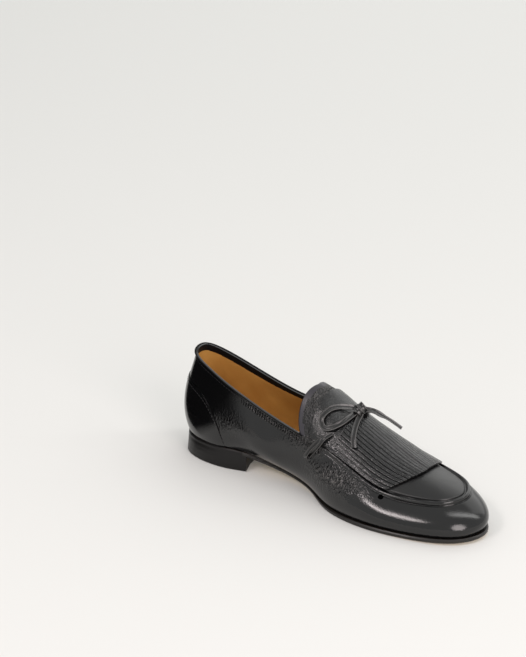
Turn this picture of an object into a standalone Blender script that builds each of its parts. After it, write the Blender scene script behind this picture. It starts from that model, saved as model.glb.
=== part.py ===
"""Left slip-on loafer with a fringed kiltie and a lace bow, standing empty on its sole.

Lengths are in millimetres until a mesh is made. x runs from the heel to the toe, y towards the
outer side of the foot and z up from the floor.
"""

from collections import namedtuple

import bmesh
import bpy
import numpy as np

MM = 0.001
GAP = 0.3

# Bottom of the shoe, from the heel to the toe
HEEL_LIFT = 12.2
SEAT_END = 58.0
WAIST_END = 142.0
WAIST_POWER = 1.8
TREAD_END = 178.0
TOE_END = 250.0
TOE_SPRING = 1.9
TOE_POWER = 1.7
SOLE_THICK = 3.0
WAIST_THIN = 0.5
SOLE_EDGE_ROUND = 0.7
SEAT_BLEND = 6.0
TREAD_START = 134.0
THIN_FROM = (50.0, 75.0)
THIN_TO = (115.0, 150.0)

# Heel block
HEEL_FLARE = 1.0
BREAST_X = 62.5
BREAST_HOLLOW = 5.0
BREAST_SKEW = 4.5
BREAST_POWER = 3
STATION_STEP = 0.01

# Upper, insole and the pieces laid on the upper
WALL = 2.0
SEAM_HIGH = 1.3
SEAM_HIGH_UNDER_KILTIE = 0.4
RIDGE_BACK_X = 112.0
RIDGE_FRONT_X = 215.0
RIDGE_BLEND = 9.0
SEAM_RISES = (0.5, 0.62)
TONGUE_FULL = 1.25
TONGUE_FULL_END = 0.6
THROAT_BOW = 6.0
THROAT_BOW_END = 0.22
THROAT_BOW_LEAN = 0.6
INSOLE_THICK = 2.5
COUNTER_THICK = 0.8
COUNTER_TOP = 0.66
COUNTER_REACH_X = 50.0
COUNTER_POWER = 3
KILTIE_THICK = 1.6
KILTIE_TOP_X = 121.0
KILTIE_CUT_X = 143.0
KILTIE_TIP_X = 200.6
KILTIE_INNER_X = 185.5
KILTIE_OUTER_X = 196.0
KILTIE_REACH = 0.955
KILTIE_END_POWER = 2.2
KILTIE_LIFT = 0.6
STRIPS = 22
SLIT = 0.45
LACE = 2.8
KNOT = 4.2
KNOT_PLACE = (145.2, 1.5, 64.0)

# Finishes
Finish = namedtuple("Finish", "name colour roughness")
BLACK_LEATHER = Finish("black_leather", (0.012, 0.012, 0.014), 0.25)
LACE_LEATHER = Finish("lace_leather", (0.012, 0.012, 0.013), 0.4)
SOLE_LEATHER = Finish("sole_leather", (0.60, 0.44, 0.28), 0.5)
HEEL_LEATHER = Finish("heel_leather", (0.016, 0.015, 0.015), 0.35)
LINING_LEATHER = Finish("lining_leather", (0.42, 0.22, 0.07), 0.6)

# Counts of columns and rows in the meshes
REAR_COLUMNS = 22
FRONT_COLUMNS = 26
SOLE_ACROSS = 4
SEAM_ROWS = (0.93, 0.965, 1.0)
WALL_ROWS = (0.0, 0.08, 0.18, 0.3, 0.43, 0.56, 0.69, 0.82) + SEAM_ROWS
APRON_ROWS = (0.035, 0.12, 0.25, 0.42, 0.6, 0.8, 1.0)
COUNTER_ROWS = 6
KILTIE_PLAIN_ROWS = 4
KILTIE_STRIP_ROWS = 9
KNOT_SEGMENTS = (14, 9)
LACE_STEP = 2.0 * LACE
SAMPLES = 60
SHARP_ANGLE = 0.7

# One section of the last for each row, from the middle of the heel to the tip of the toe.
# inner_x, inner_y, outer_x, outer_y: edge of the outsole on both sides. ledge: how far the sole
# stands out past the foot of the wall. bellies: how far the wall bulges out from the straight line
# between its foot and its top edge, and belly_at the share of its height where it does so most.
# line_x, inner_line, outer_line, inner_z, outer_z: the wall's top edge on both sides, which is the
# topline behind the throat and the apron seam before it.
Section = namedtuple(
    "Section",
    "name inner_x inner_y outer_x outer_y ledge inner_belly outer_belly belly_at"
    " line_x inner_line outer_line inner_z outer_z",
)
SECTIONS = (
    Section("heel_back", 0.8, 0.0, 0.8, 0.0, 2.0, 6.0, 6.0, 0.42, 7.2, 0.0, 0.0, 77.8, 77.8),
    Section(
        "heel_corner", 6.8, -15.4, 6.8, 15.2, 1.8, 5.8, 5.8, 0.40, 10.2, -9.6, 9.6, 75.4, 75.0
    ),
    Section("heel_side", 24.0, -23.5, 24.0, 22.3, 1.5, 5.2, 5.2, 0.36, 25.5, -15.6, 15.6, 70.2, 68.4),
    Section("seat", 46.0, -23.8, 44.0, 24.0, 1.2, 4.5, 5.0, 0.36, 46.0, -19.6, 19.6, 63.8, 60.2),
    Section("breast", 63.0, -19.2, 62.0, 26.0, 0.8, 7.8, 4.5, 0.38, 66.0, -21.0, 21.0, 57.3, 54.2),
    Section("waist", 92.0, -13.8, 90.0, 29.9, 0.6, 10.6, 5.9, 0.40, 92.0, -22.5, 22.5, 50.0, 49.4),
    Section(
        "throat", 118.0, -19.3, 115.0, 36.5, 0.8, 6.6, 5.9, 0.40, 116.0, -25.5, 25.5, 46.0, 46.0
    ),
    Section("joint", 141.0, -33.5, 136.0, 40.8, 1.5, 3.8, 6.4, 0.40, 137.0, -26.4, 26.4, 40.6, 41.0),
    Section("ball", 168.0, -40.2, 160.0, 41.8, 2.0, 5.8, 6.4, 0.45, 161.0, -28.2, 28.2, 32.3, 34.0),
    Section("vamp", 200.0, -38.2, 198.0, 34.1, 2.0, 5.5, 4.0, 0.45, 190.0, -27.8, 28.0, 24.2, 27.2),
    Section(
        "toe_corner", 229.0, -30.2, 228.0, 22.9, 2.0, 6.0, 5.0, 0.48, 218.0, -20.0, 19.5, 23.6, 25.8
    ),
    Section(
        "toe_side", 245.0, -17.9, 244.5, 10.5, 2.0, 7.0, 6.5, 0.50, 228.5, -12.0, 10.0, 24.4, 25.4
    ),
    Section("toe_tip", 250.0, -3.2, 250.0, -3.2, 2.6, 7.5, 7.5, 0.50, 232.5, -1.0, -1.0, 25.2, 25.2),
)

# Ridge of the instep, from the tongue's top edge to the toe
RidgePoint = namedtuple("RidgePoint", "x y z")
RIDGE = (
    RidgePoint(112.0, 0.0, 75.0),
    RidgePoint(118.0, 0.0, 74.8),
    RidgePoint(122.0, 0.0, 72.4),
    RidgePoint(127.0, 0.0, 66.4),
    RidgePoint(140.0, -0.4, 58.9),
    RidgePoint(168.0, -0.9, 46.0),
    RidgePoint(182.0, -1.1, 39.0),
    RidgePoint(198.0, -1.3, 33.4),
    RidgePoint(215.0, -1.0, 30.2),
    RidgePoint(228.0, -1.0, 27.0),
)

# Lace at the throat's lower corners: its place along the front part (0 at the throat, 1 at the
# toe), up the wall or the apron, and how far its middle stands off that face
BarSpot = namedtuple("BarSpot", "face along up lift")
LACE_BAR = (
    BarSpot("apron", 0.145, 0.13, 3.8),
    BarSpot("apron", 0.12, 0.03, 3.6),
    BarSpot("wall", 0.085, 0.90, 2.4),
    BarSpot("wall", 0.06, 0.74, 1.9),
)

# Routes of the bow's loops and ends, x y z
BOW_ROUTES = {
    "bow_loop_inner": (
        (140.9, -0.1, 65.0), (137.0, -4.2, 65.9), (134.4, -7.3, 66.3), (131.3, -12.4, 66.0),
        (129.2, -17.6, 63.9), (128.8, -21.4, 60.6), (131.0, -23.1, 56.8), (133.9, -22.8, 55.5),
        (137.2, -21.0, 56.3), (140.0, -18.1, 57.9), (142.3, -14.0, 59.7), (143.4, -9.3, 61.2),
        (144.0, -2.9, 62.5),
    ),
    "bow_loop_outer": (
        (144.2, 5.8, 62.6), (141.8, 9.6, 61.5), (139.4, 13.4, 60.9), (137.3, 16.9, 59.7),
        (136.0, 20.0, 57.6), (136.7, 21.9, 55.5), (139.0, 21.1, 55.4), (141.2, 18.5, 56.8),
        (143.4, 15.2, 58.2), (145.1, 11.9, 59.0), (147.0, 6.3, 61.0),
    ),
    "bow_end_inner": (
        (147.3, -1.4, 61.3), (148.6, -6.6, 59.3), (150.4, -12.2, 56.2), (152.8, -17.4, 52.2),
        (156.4, -21.8, 47.0),
    ),
    "bow_end_outer": (
        (148.8, 4.2, 63.9), (150.9, 5.8, 63.4), (153.3, 8.3, 61.9), (156.7, 10.9, 59.3),
        (160.7, 13.5, 56.6), (164.8, 16.0, 53.3), (168.6, 18.0, 50.2),
    ),
}


class RibLoop:
    """A closed cubic spline through the ribs of both sides, with its parameter from 0 to 2.

    It runs from the heel (0) along the inner side to the toe (1) and back along the outer side.
    """

    def __init__(self, inner, outer):
        inner, outer = np.array(inner, float), np.array(outer, float)
        steps = [np.linalg.norm(np.diff(side[:, :2], axis=0), axis=1) for side in (inner, outer)]
        halves = np.concatenate([[0.0], np.cumsum(steps[0] + steps[1])])
        self.stations = halves / halves[-1]
        self.rows = np.concatenate([inner, outer[-2:0:-1]])
        self.knots = np.concatenate([self.stations, 2.0 - self.stations[-2::-1]])
        self.bends = self._bends(np.diff(self.knots))

    def _bends(self, steps):
        """Second derivatives at the ribs, which keep the spline smooth where it closes too."""
        count = len(steps)
        matrix = np.zeros((count, count))
        right = np.zeros_like(self.rows)
        for i in range(count):
            before, after = steps[i - 1], steps[i]
            matrix[i, i - 1] += before
            matrix[i, i] += 2 * (before + after)
            matrix[i, (i + 1) % count] += after
            rise_after = (self.rows[(i + 1) % count] - self.rows[i]) / after
            rise_before = (self.rows[i] - self.rows[i - 1]) / before
            right[i] = 6 * (rise_after - rise_before)
        return np.linalg.solve(matrix, right)

    def __call__(self, s):
        s = s % 2.0
        i = min(int(np.searchsorted(self.knots, s, side="right")) - 1, len(self.rows) - 1)
        j = (i + 1) % len(self.rows)
        step = self.knots[i + 1] - self.knots[i]
        a = (self.knots[i + 1] - s) / step
        b = 1.0 - a
        bend = (a**3 - a) * self.bends[i] + (b**3 - b) * self.bends[j]
        return a * self.rows[i] + b * self.rows[j] + bend * step * step / 6


LAST = RibLoop(
    [(r.inner_x, r.inner_y, r.ledge, r.inner_belly, r.belly_at, r.line_x, r.inner_line, r.inner_z)
     for r in SECTIONS],
    [(r.outer_x, r.outer_y, r.ledge, r.outer_belly, r.belly_at, r.line_x, r.outer_line, r.outer_z)
     for r in SECTIONS],
)


def station(name):
    """Parameter of the named section on the inner side."""
    return LAST.stations[[section.name for section in SECTIONS].index(name)]


THROAT = station("throat")


def on_side(side, along):
    """Parameter of the rib at a station, on the inner side (-1) or the outer side (1)."""
    return along if side < 0 else 2.0 - along


def smooth_step(x, start, end):
    share = min(max((x - start) / (end - start), 0.0), 1.0)
    return share * share * (3 - 2 * share)


def averaged(curve, x, window):
    """Mean of a curve near x, which rounds its corners."""
    return float(np.mean([curve(x + offset) for offset in np.linspace(-window, window, 9)]))


def sole_profile(x):
    if x < WAIST_END:
        share = min(max((x - SEAT_END) / (WAIST_END - SEAT_END), 0.0), 1.0)
        return HEEL_LIFT * (1 - share) ** WAIST_POWER
    return TOE_SPRING * max((x - TREAD_END) / (TOE_END - TREAD_END), 0.0) ** TOE_POWER


def sole_bottom(x):
    """Height of the outsole's underside: level seat, falling waist, flat tread and toe spring."""
    return averaged(sole_profile, x, SEAT_BLEND) if x < TREAD_START else sole_profile(x)


def sole_top(x):
    thin = smooth_step(x, *THIN_FROM) - smooth_step(x, *THIN_TO)
    return sole_bottom(x) + SOLE_THICK - WAIST_THIN * thin


def outward(s):
    """Unit normal of the sole's outline in plan, away from the shoe."""
    step = 1e-4
    run = LAST(s + step)[:2] - LAST(s - step)[:2]
    return np.array([run[1], -run[0]]) / np.linalg.norm(run)


def edge(s, grow):
    """Plan point of the sole's outline, moved out by grow."""
    return LAST(s)[:2] + outward(s) * grow


def wall_foot(s):
    plan = edge(s, -LAST(s)[2])
    return np.array([plan[0], plan[1], sole_top(plan[0]) + GAP])


def wall_point(s, t):
    """Outer face of the wall: t from 0 at the sole to 1 at the topline or the apron seam."""
    _, _, _, belly, belly_at, line_x, line_y, line_z = LAST(s)
    foot = wall_foot(s)
    power = (1 - belly_at) / belly_at
    bulge = belly * (t / belly_at) * ((1 - t) / (1 - belly_at)) ** power
    point = foot + (np.array([line_x, line_y, line_z]) - foot) * t
    point[:2] += outward(s) * bulge
    return point


def ridge_table(x):
    """Height of the ridge on straight lines between the rows, which run on past the ends."""
    xs = [point.x for point in RIDGE]
    zs = [point.z for point in RIDGE]
    i = min(max(int(np.searchsorted(xs, x)), 1), len(xs) - 1)
    return zs[i - 1] + (zs[i] - zs[i - 1]) * (x - xs[i - 1]) / (xs[i] - xs[i - 1])


def ridge_height(x):
    return averaged(ridge_table, x, RIDGE_BLEND)


def ridge_point(v):
    """Top of the section at v, from 0 at the throat to 1 at the tip of the toe."""
    line_x = LAST(THROAT + (1 - THROAT) * v)[5]
    back_x, front_x = LAST(THROAT)[5], LAST(1.0)[5]
    share = (line_x - back_x) / (front_x - back_x)
    x = RIDGE_BACK_X + (RIDGE_FRONT_X - RIDGE_BACK_X) * share
    y = np.interp(x, [point.x for point in RIDGE], [point.y for point in RIDGE])
    return np.array([x, y, ridge_height(x)])


def apron_point(side, v, q):
    """Outer face of the apron and tongue: q from 0 at the seam to 1 at the ridge."""
    start = LAST(on_side(side, THROAT + (1 - THROAT) * v))[5:]
    end = ridge_point(v)
    run = end - start
    end_rise = run[0] * (ridge_height(end[0] + 1) - ridge_height(end[0] - 1)) / 2
    full = TONGUE_FULL + (1.0 - TONGUE_FULL) * smooth_step(v, 0.0, TONGUE_FULL_END)
    start_rise = full * (2 * run[2] - end_rise)
    point = start + run * q
    bow = max(1 - v / THROAT_BOW_END, 0.0) ** 2
    point[0] -= THROAT_BOW * bow * np.sin(np.pi * q**THROAT_BOW_LEAN)
    point[2] = (
        (2 * q**3 - 3 * q**2 + 1) * start[2]
        + (q**3 - 2 * q**2 + q) * start_rise
        + (3 * q**2 - 2 * q**3) * end[2]
        + (q**3 - q**2) * end_rise
    )
    return point


def unit(vector):
    return vector / np.linalg.norm(vector)


def wall_normal(s, t):
    step = 1e-3
    low, high = max(t - step, 0.0), min(t + step, 1.0)
    along = wall_point(s + step, t) - wall_point(s - step, t)
    return unit(np.cross(along, wall_point(s, high) - wall_point(s, low)))


def apron_normal(side, v, q):
    """Normal of the apron. Both halves share it on the ridge and at the tip of the toe."""
    step = 1e-3
    if q > 1 - step:
        x = ridge_point(v)[0]
        return unit(np.array([(ridge_height(x - 1) - ridge_height(x + 1)) / 2, 0.0, 1.0]))
    up = apron_point(side, v, q + step) - apron_point(side, v, max(q - step, 0.0))
    if v > 1 - step:
        return unit(np.cross(apron_point(1, v - step, q) - apron_point(-1, v - step, q), up))
    along = apron_point(side, v + step, q) - apron_point(side, max(v - step, 0.0), q)
    return unit(np.cross(along, up)) * -side


def make_object(name, mesh, finish):
    """Put a mesh in the scene with the material of its finish."""
    item = bpy.data.objects.new(name, mesh)
    bpy.context.collection.objects.link(item)
    material = bpy.data.materials.new(finish.name)
    material.use_nodes = True
    shader = material.node_tree.nodes["Principled BSDF"]
    shader.inputs["Base Color"].default_value = (*finish.colour, 1.0)
    shader.inputs["Roughness"].default_value = finish.roughness
    item.data.materials.append(material)
    return item


def layered_solid(name, cells, layers, finish):
    """Closed solid from cells of keys: the first and last layer are its faces, all of them its rim.

    A cell is a tuple of keys, in order round it as seen from outside the first layer.
    """
    cells = [tuple(dict.fromkeys(cell)) for cell in cells]
    sides = dict.fromkeys(side for cell in cells for side in zip(cell, cell[1:] + cell[:1]))
    rim = [side for side in sides if side[::-1] not in sides]
    face_keys = dict.fromkeys(key for cell in cells for key in cell)
    rim_keys = dict.fromkeys(key for side in rim for key in side)
    build = bmesh.new()
    points = []
    for layer in layers:
        keys = face_keys if layer is layers[0] or layer is layers[-1] else rim_keys
        points.append({key: build.verts.new(layer[key] * MM) for key in keys})
    for cell in cells:
        build.faces.new([points[0][key] for key in cell])
        build.faces.new([points[-1][key] for key in reversed(cell)])
    for a, b in rim:
        for upper, lower in zip(points, points[1:]):
            build.faces.new([upper[b], upper[a], lower[a], lower[b]])
    mesh = bpy.data.meshes.new(name)
    build.to_mesh(mesh)
    build.free()
    mesh.shade_smooth()
    mesh.set_sharp_from_angle(angle=SHARP_ANGLE)
    return make_object(name, mesh, finish)


def half_stations():
    """Stations of the columns on one side, from the heel to the toe."""
    rear = np.linspace(0.0, THROAT, REAR_COLUMNS + 1)
    front = np.linspace(THROAT, 1.0, FRONT_COLUMNS + 1)
    return np.concatenate([rear[:-1], front])


def ladder(rows, point_rows):
    """Cells of a plate with rungs from the inner to the outer side; some rows are single points."""
    def key(k, j):
        return (k, 0) if k in point_rows else (k, j)
    return [
        (key(k, j), key(k + 1, j), key(k + 1, j + 1), key(k, j + 1))
        for k in range(rows)
        for j in range(SOLE_ACROSS)
    ]


def plate_layer(stations, grow, height, shift=None):
    """One layer of a plate: its outline grown by grow(station), at height(x)."""
    layer = {}
    for k, along in enumerate(stations):
        for j in range(SOLE_ACROSS + 1):
            share = j / SOLE_ACROSS
            reach = grow(along)
            x, y = edge(along, reach) * (1 - share) + edge(2.0 - along, reach) * share
            if shift:
                x -= shift(k / (len(stations) - 1), share)
            layer[k, j] = np.array([x, y, height(x)])
    return layer


def make_outsole():
    """Plate with the true outline, arch and toe spring, and softened edges."""
    stations = half_stations()
    rows = len(stations) - 1
    layers = [
        plate_layer(stations, lambda along: -SOLE_EDGE_ROUND, sole_top),
        plate_layer(stations, lambda along: 0.0, lambda x: sole_top(x) - SOLE_EDGE_ROUND),
        plate_layer(stations, lambda along: 0.0, lambda x: sole_bottom(x) + SOLE_EDGE_ROUND),
        plate_layer(stations, lambda along: -SOLE_EDGE_ROUND, sole_bottom),
    ]
    return layered_solid("outsole", ladder(rows, (0, rows)), layers, SOLE_LEATHER)


def make_heel():
    """Low block under the seat, a little wider at the floor, with a hollowed breast."""
    along = np.linspace(0.0, 1.0, 4 * SAMPLES)
    breast = float(np.interp(BREAST_X, [LAST(s)[0] for s in along], along))
    stations = [s for s in half_stations() if s < breast - STATION_STEP] + [breast]

    def hollow(along_share, across_share):
        across = 4 * across_share * (1 - across_share)
        return (BREAST_HOLLOW * across + BREAST_SKEW * across_share) * along_share**BREAST_POWER

    layers = [
        plate_layer(stations, lambda s: 0.0, lambda x: sole_bottom(x) - GAP, hollow),
        plate_layer(stations, lambda s: HEEL_FLARE, lambda x: SOLE_EDGE_ROUND, hollow),
        plate_layer(stations, lambda s: HEEL_FLARE - SOLE_EDGE_ROUND, lambda x: 0.0, hollow),
    ]
    return layered_solid("heel", ladder(len(stations) - 1, (0,)), layers, HEEL_LEATHER)


def make_insole():
    """Sock board inside the wall, on the outsole."""
    stations = half_stations()
    rows = len(stations) - 1

    def inset(along):
        return -(LAST(along)[2] + WALL + GAP)

    layers = [
        plate_layer(stations, inset, lambda x: sole_top(x) + GAP + INSOLE_THICK),
        plate_layer(stations, inset, lambda x: sole_top(x) + GAP),
    ]
    return layered_solid("insole", ladder(rows, (0, rows)), layers, LINING_LEATHER)


def seam_height(v):
    """How far the apron seam stands proud: low under the kiltie and full round the toe."""
    rise = smooth_step(v, *SEAM_RISES)
    return SEAM_HIGH_UNDER_KILTIE + (SEAM_HIGH - SEAM_HIGH_UNDER_KILTIE) * rise


def apron_keys(side, column_count, last_row):
    """Keys of one half of the apron: its seam row is the wall's last row, and its ridge is shared."""
    keys = []
    for k in range(FRONT_COLUMNS + 1):
        column = REAR_COLUMNS + k if side < 0 else (column_count - REAR_COLUMNS - k) % column_count
        rows = [(column, last_row)]
        for j in range(1, len(APRON_ROWS) + 1):
            shared = k == FRONT_COLUMNS or j == len(APRON_ROWS)
            rows.append(("apron", 0 if shared else side, k, j))
        keys.append(rows)
    return keys


def make_upper():
    """Hollow shell: a wall round the shoe, and the apron with the tongue arch before the throat."""
    half = half_stations()
    columns = np.concatenate([half, 2.0 - half[-2:0:-1]])
    last_row = len(WALL_ROWS) - 1
    outer, inner, cells = {}, {}, []
    for c, s in enumerate(columns):
        side = -1 if s <= 1.0 else 1
        v = ((s if side < 0 else 2.0 - s) - THROAT) / (1 - THROAT)
        in_front = v > -1e-9
        for r, t in enumerate(WALL_ROWS):
            normal = wall_normal(s, t)
            if r == 0:
                normal = np.array([*outward(s), 0.0])
            elif r == last_row and in_front:
                normal = unit(normal + apron_normal(side, max(v, 0.0), 0.0))
            proud = seam_height(v) if in_front and t in SEAM_ROWS[1:] else 0.0
            place = wall_point(s, t)
            outer[c, r] = place + normal * proud
            inner[c, r] = place - normal * WALL
            if r:
                after = (c + 1) % len(columns)
                cells.append(((c, r - 1), (after, r - 1), (after, r), (c, r)))
    for side in (-1, 1):
        keys = apron_keys(side, len(columns), last_row)
        for k in range(FRONT_COLUMNS + 1):
            v = k / FRONT_COLUMNS
            for j, q in enumerate(APRON_ROWS, start=1):
                place = apron_point(side, v, q)
                outer[keys[k][j]] = place
                inner[keys[k][j]] = place - apron_normal(side, v, q) * WALL
        for k in range(FRONT_COLUMNS):
            for j in range(len(APRON_ROWS)):
                cell = (keys[k][j], keys[k + 1][j], keys[k + 1][j + 1], keys[k][j + 1])
                cells.append(cell if side < 0 else cell[::-1])
    return layered_solid("upper", cells, [outer, inner], BLACK_LEATHER)


def make_counter():
    """Back overlay between two larger forms of the wall, with a rounded front edge on each side."""
    half = [s for s in half_stations() if LAST(s)[0] < COUNTER_REACH_X]
    reach = 2 * half[-1] - half[-2]
    places = [-s for s in half[:0:-1]] + half
    outer, inner, cells = {}, {}, []
    for c, s in enumerate(places):
        top = COUNTER_TOP * np.sqrt(1 - abs(s / reach) ** COUNTER_POWER)
        for r in range(COUNTER_ROWS + 1):
            t = top * r / COUNTER_ROWS
            place, normal = wall_point(s, t), wall_normal(s, t)
            if r == 0:
                normal = np.array([*outward(s), 0.0])
            outer[c, r] = place + normal * (GAP + COUNTER_THICK)
            inner[c, r] = place + normal * GAP
            if c and r:
                cells.append(((c - 1, r - 1), (c, r - 1), (c, r), (c - 1, r)))
    return layered_solid("counter", cells, [outer, inner], BLACK_LEATHER)


def apron_across(a, x):
    """Point and normal of the apron at x, with a from -1 at the inner seam to 1 at the outer seam."""
    side = -1 if a < 0 else 1
    q = 1 - abs(a)
    shares = np.linspace(0.0, 1.0, SAMPLES)
    v = float(np.interp(x, [apron_point(side, share, q)[0] for share in shares], shares))
    return apron_point(side, v, q), apron_normal(side, v, q)


def strip_edges():
    """Places across the kiltie of both edges of each strip, evenly spaced along its surface."""
    places = np.linspace(-KILTIE_REACH, KILTIE_REACH, SAMPLES + 1)
    points = np.array([apron_across(a, KILTIE_INNER_X)[0] for a in places])
    lengths = np.concatenate([[0.0], np.cumsum(np.linalg.norm(np.diff(points, axis=0), axis=1))])
    pitch = (lengths[-1] + SLIT) / STRIPS
    marks = [pitch * i + offset for i in range(STRIPS) for offset in (0.0, pitch - SLIT)]
    return np.interp(marks, lengths, places)


def make_kiltie():
    """Flap on the apron, plain at its top, its strips fused there and rounded off as a row below."""
    across = strip_edges()
    outer, inner, cells = {}, {}, []
    rows = KILTIE_PLAIN_ROWS + KILTIE_STRIP_ROWS
    for i, a in enumerate(across):
        corner_x = KILTIE_INNER_X if a < 0 else KILTIE_OUTER_X
        end_x = KILTIE_TIP_X - (KILTIE_TIP_X - corner_x) * abs(a) ** KILTIE_END_POWER
        plain = np.linspace(KILTIE_TOP_X, KILTIE_CUT_X, KILTIE_PLAIN_ROWS + 1)
        cut = np.linspace(KILTIE_CUT_X, end_x, KILTIE_STRIP_ROWS + 1)[1:]
        for r, x in enumerate(np.concatenate([plain, cut])):
            place, normal = apron_across(a, x)
            lift = GAP + KILTIE_LIFT * smooth_step(r, KILTIE_PLAIN_ROWS, rows)
            outer[i, r] = place + normal * (lift + KILTIE_THICK)
            inner[i, r] = place + normal * lift
            in_slit = i % 2 == 0 and r > KILTIE_PLAIN_ROWS
            if i and r and not in_slit:
                cells.append(((i - 1, r - 1), (i - 1, r), (i, r), (i, r - 1)))
    return layered_solid("kiltie", cells, [outer, inner], BLACK_LEATHER)


def smooth_route(points, spacing):
    """Points about spacing apart on a smooth curve through the route's own points."""
    points = np.array(points, float)
    ends = np.concatenate([[2 * points[0] - points[1]], points, [2 * points[-1] - points[-2]]])
    fine = []
    for before, start, end, after in zip(ends, ends[1:], ends[2:], ends[3:]):
        for t in np.linspace(0.0, 1.0, 12, endpoint=False):
            fine.append(0.5 * (
                2 * start
                + (end - before) * t
                + (2 * before - 5 * start + 4 * end - after) * t**2
                + (3 * start - before - 3 * end + after) * t**3
            ))
    fine = np.array(fine + [points[-1]])
    lengths = np.concatenate([[0.0], np.cumsum(np.linalg.norm(np.diff(fine, axis=0), axis=1))])
    marks = np.linspace(0.0, lengths[-1], max(int(round(lengths[-1] / spacing)), 2) + 1)
    return np.stack([np.interp(marks, lengths, fine[:, axis]) for axis in range(3)], axis=1)


def make_lace(name, points):
    """Round lace along a route, with closed ends."""
    curve = bpy.data.curves.new(name, "CURVE")
    curve.dimensions = "3D"
    curve.bevel_depth = LACE / 2 * MM
    curve.bevel_resolution = 2
    curve.use_fill_caps = True
    route = smooth_route(points, LACE_STEP)
    spline = curve.splines.new("POLY")
    spline.points.add(len(route) - 1)
    for spot, place in zip(spline.points, route):
        spot.co = (*(place * MM), 1.0)
    return make_object(name, curve, LACE_LEATHER)


def make_lace_bar(name, side):
    """The lace from the apron over its seam to the wall, at a lower corner of the throat."""
    points = []
    for spot in LACE_BAR:
        if spot.face == "apron":
            place = apron_point(side, spot.along, spot.up)
            normal = apron_normal(side, spot.along, spot.up)
        else:
            s = on_side(side, THROAT + (1 - THROAT) * spot.along)
            place, normal = wall_point(s, spot.up), wall_normal(s, spot.up)
        points.append(place + normal * spot.lift)
    return make_lace(name, points)


def make_knot():
    """Round knot of the bow."""
    mesh = bpy.data.meshes.new("bow_knot")
    build = bmesh.new()
    around, rings = KNOT_SEGMENTS
    bmesh.ops.create_uvsphere(build, u_segments=around, v_segments=rings, radius=KNOT * MM)
    bmesh.ops.translate(build, verts=build.verts, vec=np.array(KNOT_PLACE) * MM)
    build.to_mesh(mesh)
    build.free()
    mesh.shade_smooth()
    return make_object("bow_knot", mesh, LACE_LEATHER)


def main():
    for item in list(bpy.data.objects):
        bpy.data.objects.remove(item)
    shoe = [make_outsole(), make_heel(), make_insole(), make_upper(), make_counter(), make_kiltie()]
    points = np.array([vertex.co for item in shoe for vertex in item.data.vertices])
    middle = (points.min(axis=0) + points.max(axis=0)) / 2
    root = bpy.data.objects.new("shoe", None)
    bpy.context.collection.objects.link(root)
    root.location = (-middle[0], -middle[1], 0.0)
    lace = [make_lace_bar("lace_bar_inner", -1), make_lace_bar("lace_bar_outer", 1), make_knot()]
    lace += [make_lace(name, points) for name, points in BOW_ROUTES.items()]
    for item in shoe + lace:
        item.parent = root


main()
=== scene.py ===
"""Left slip-on loafer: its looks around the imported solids, laid out as a Blender add-on.

Lengths are in millimetres on the shoe's own axes, as its solids have them: x from the back of the
heel to the toe, y to the outer side of the foot, z up. at() turns them into metres in the row
frame.
"""

import math
from collections import namedtuple

import bpy
import numpy as np
from bpy.props import FloatProperty, IntProperty, PointerProperty, StringProperty
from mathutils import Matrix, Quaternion, Vector, noise


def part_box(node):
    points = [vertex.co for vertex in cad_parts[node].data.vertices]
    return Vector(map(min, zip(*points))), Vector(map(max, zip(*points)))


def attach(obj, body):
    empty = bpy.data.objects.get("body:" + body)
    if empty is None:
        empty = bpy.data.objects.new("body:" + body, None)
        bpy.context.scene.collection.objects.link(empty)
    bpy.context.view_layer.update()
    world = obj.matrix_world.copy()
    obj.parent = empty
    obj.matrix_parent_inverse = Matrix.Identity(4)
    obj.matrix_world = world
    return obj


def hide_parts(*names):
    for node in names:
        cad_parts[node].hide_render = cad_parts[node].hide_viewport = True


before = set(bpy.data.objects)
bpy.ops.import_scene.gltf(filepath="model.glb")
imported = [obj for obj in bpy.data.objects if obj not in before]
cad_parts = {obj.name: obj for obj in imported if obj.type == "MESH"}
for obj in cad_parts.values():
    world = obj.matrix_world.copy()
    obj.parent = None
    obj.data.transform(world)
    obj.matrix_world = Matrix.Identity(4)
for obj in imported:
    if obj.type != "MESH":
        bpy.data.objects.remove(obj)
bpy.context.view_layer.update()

bl_info = {
    "name": "Slip-on loafer",
    "version": (1, 0, 0),
    "blender": (4, 5, 0),
    "location": "View3D > Sidebar > Loafer",
    "description": "Dresses the solids of a fringed loafer with leather, lace, stitching and light",
    "category": "Object",
}

MM = 0.001
BODY = "root"

# Place of the shoe's own axes in the row frame, from the knot, whose place on them is known
KNOT_PLACE = np.array((145.2, 1.5, 64.0))
SHIFT = np.array((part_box("bow_knot")[0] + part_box("bow_knot")[1]) / 2) / MM - KNOT_PLACE

# Bottom of the shoe, as the solids have it
HEEL_LIFT = 12.2
SEAT_END = 58.0
WAIST_END = 142.0
WAIST_POWER = 1.8
TREAD_END = 178.0
TOE_END = 250.0
TOE_SPRING = 1.9
TOE_POWER = 1.7
SOLE_THICK = 3.0
WAIST_THIN = 0.5
SEAT_BLEND = 6.0
TREAD_START = 134.0
THIN_FROM = (50.0, 75.0)
THIN_TO = (115.0, 150.0)
SOLE_GAP = 0.3

# Upper, as the solids have it
RIDGE_BACK_X = 112.0
RIDGE_FRONT_X = 215.0
RIDGE_BLEND = 9.0
TONGUE_FULL = 1.25
TONGUE_FULL_END = 0.6
THROAT_BOW = 6.0
THROAT_BOW_END = 0.22
THROAT_BOW_LEAN = 0.6
COUNTER_OUT = 0.6
COUNTER_TOP = 0.69
COUNTER_REACH = 0.201
COUNTER_POWER = 4.6
COUNTER_ROOT = 0.7

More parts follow.
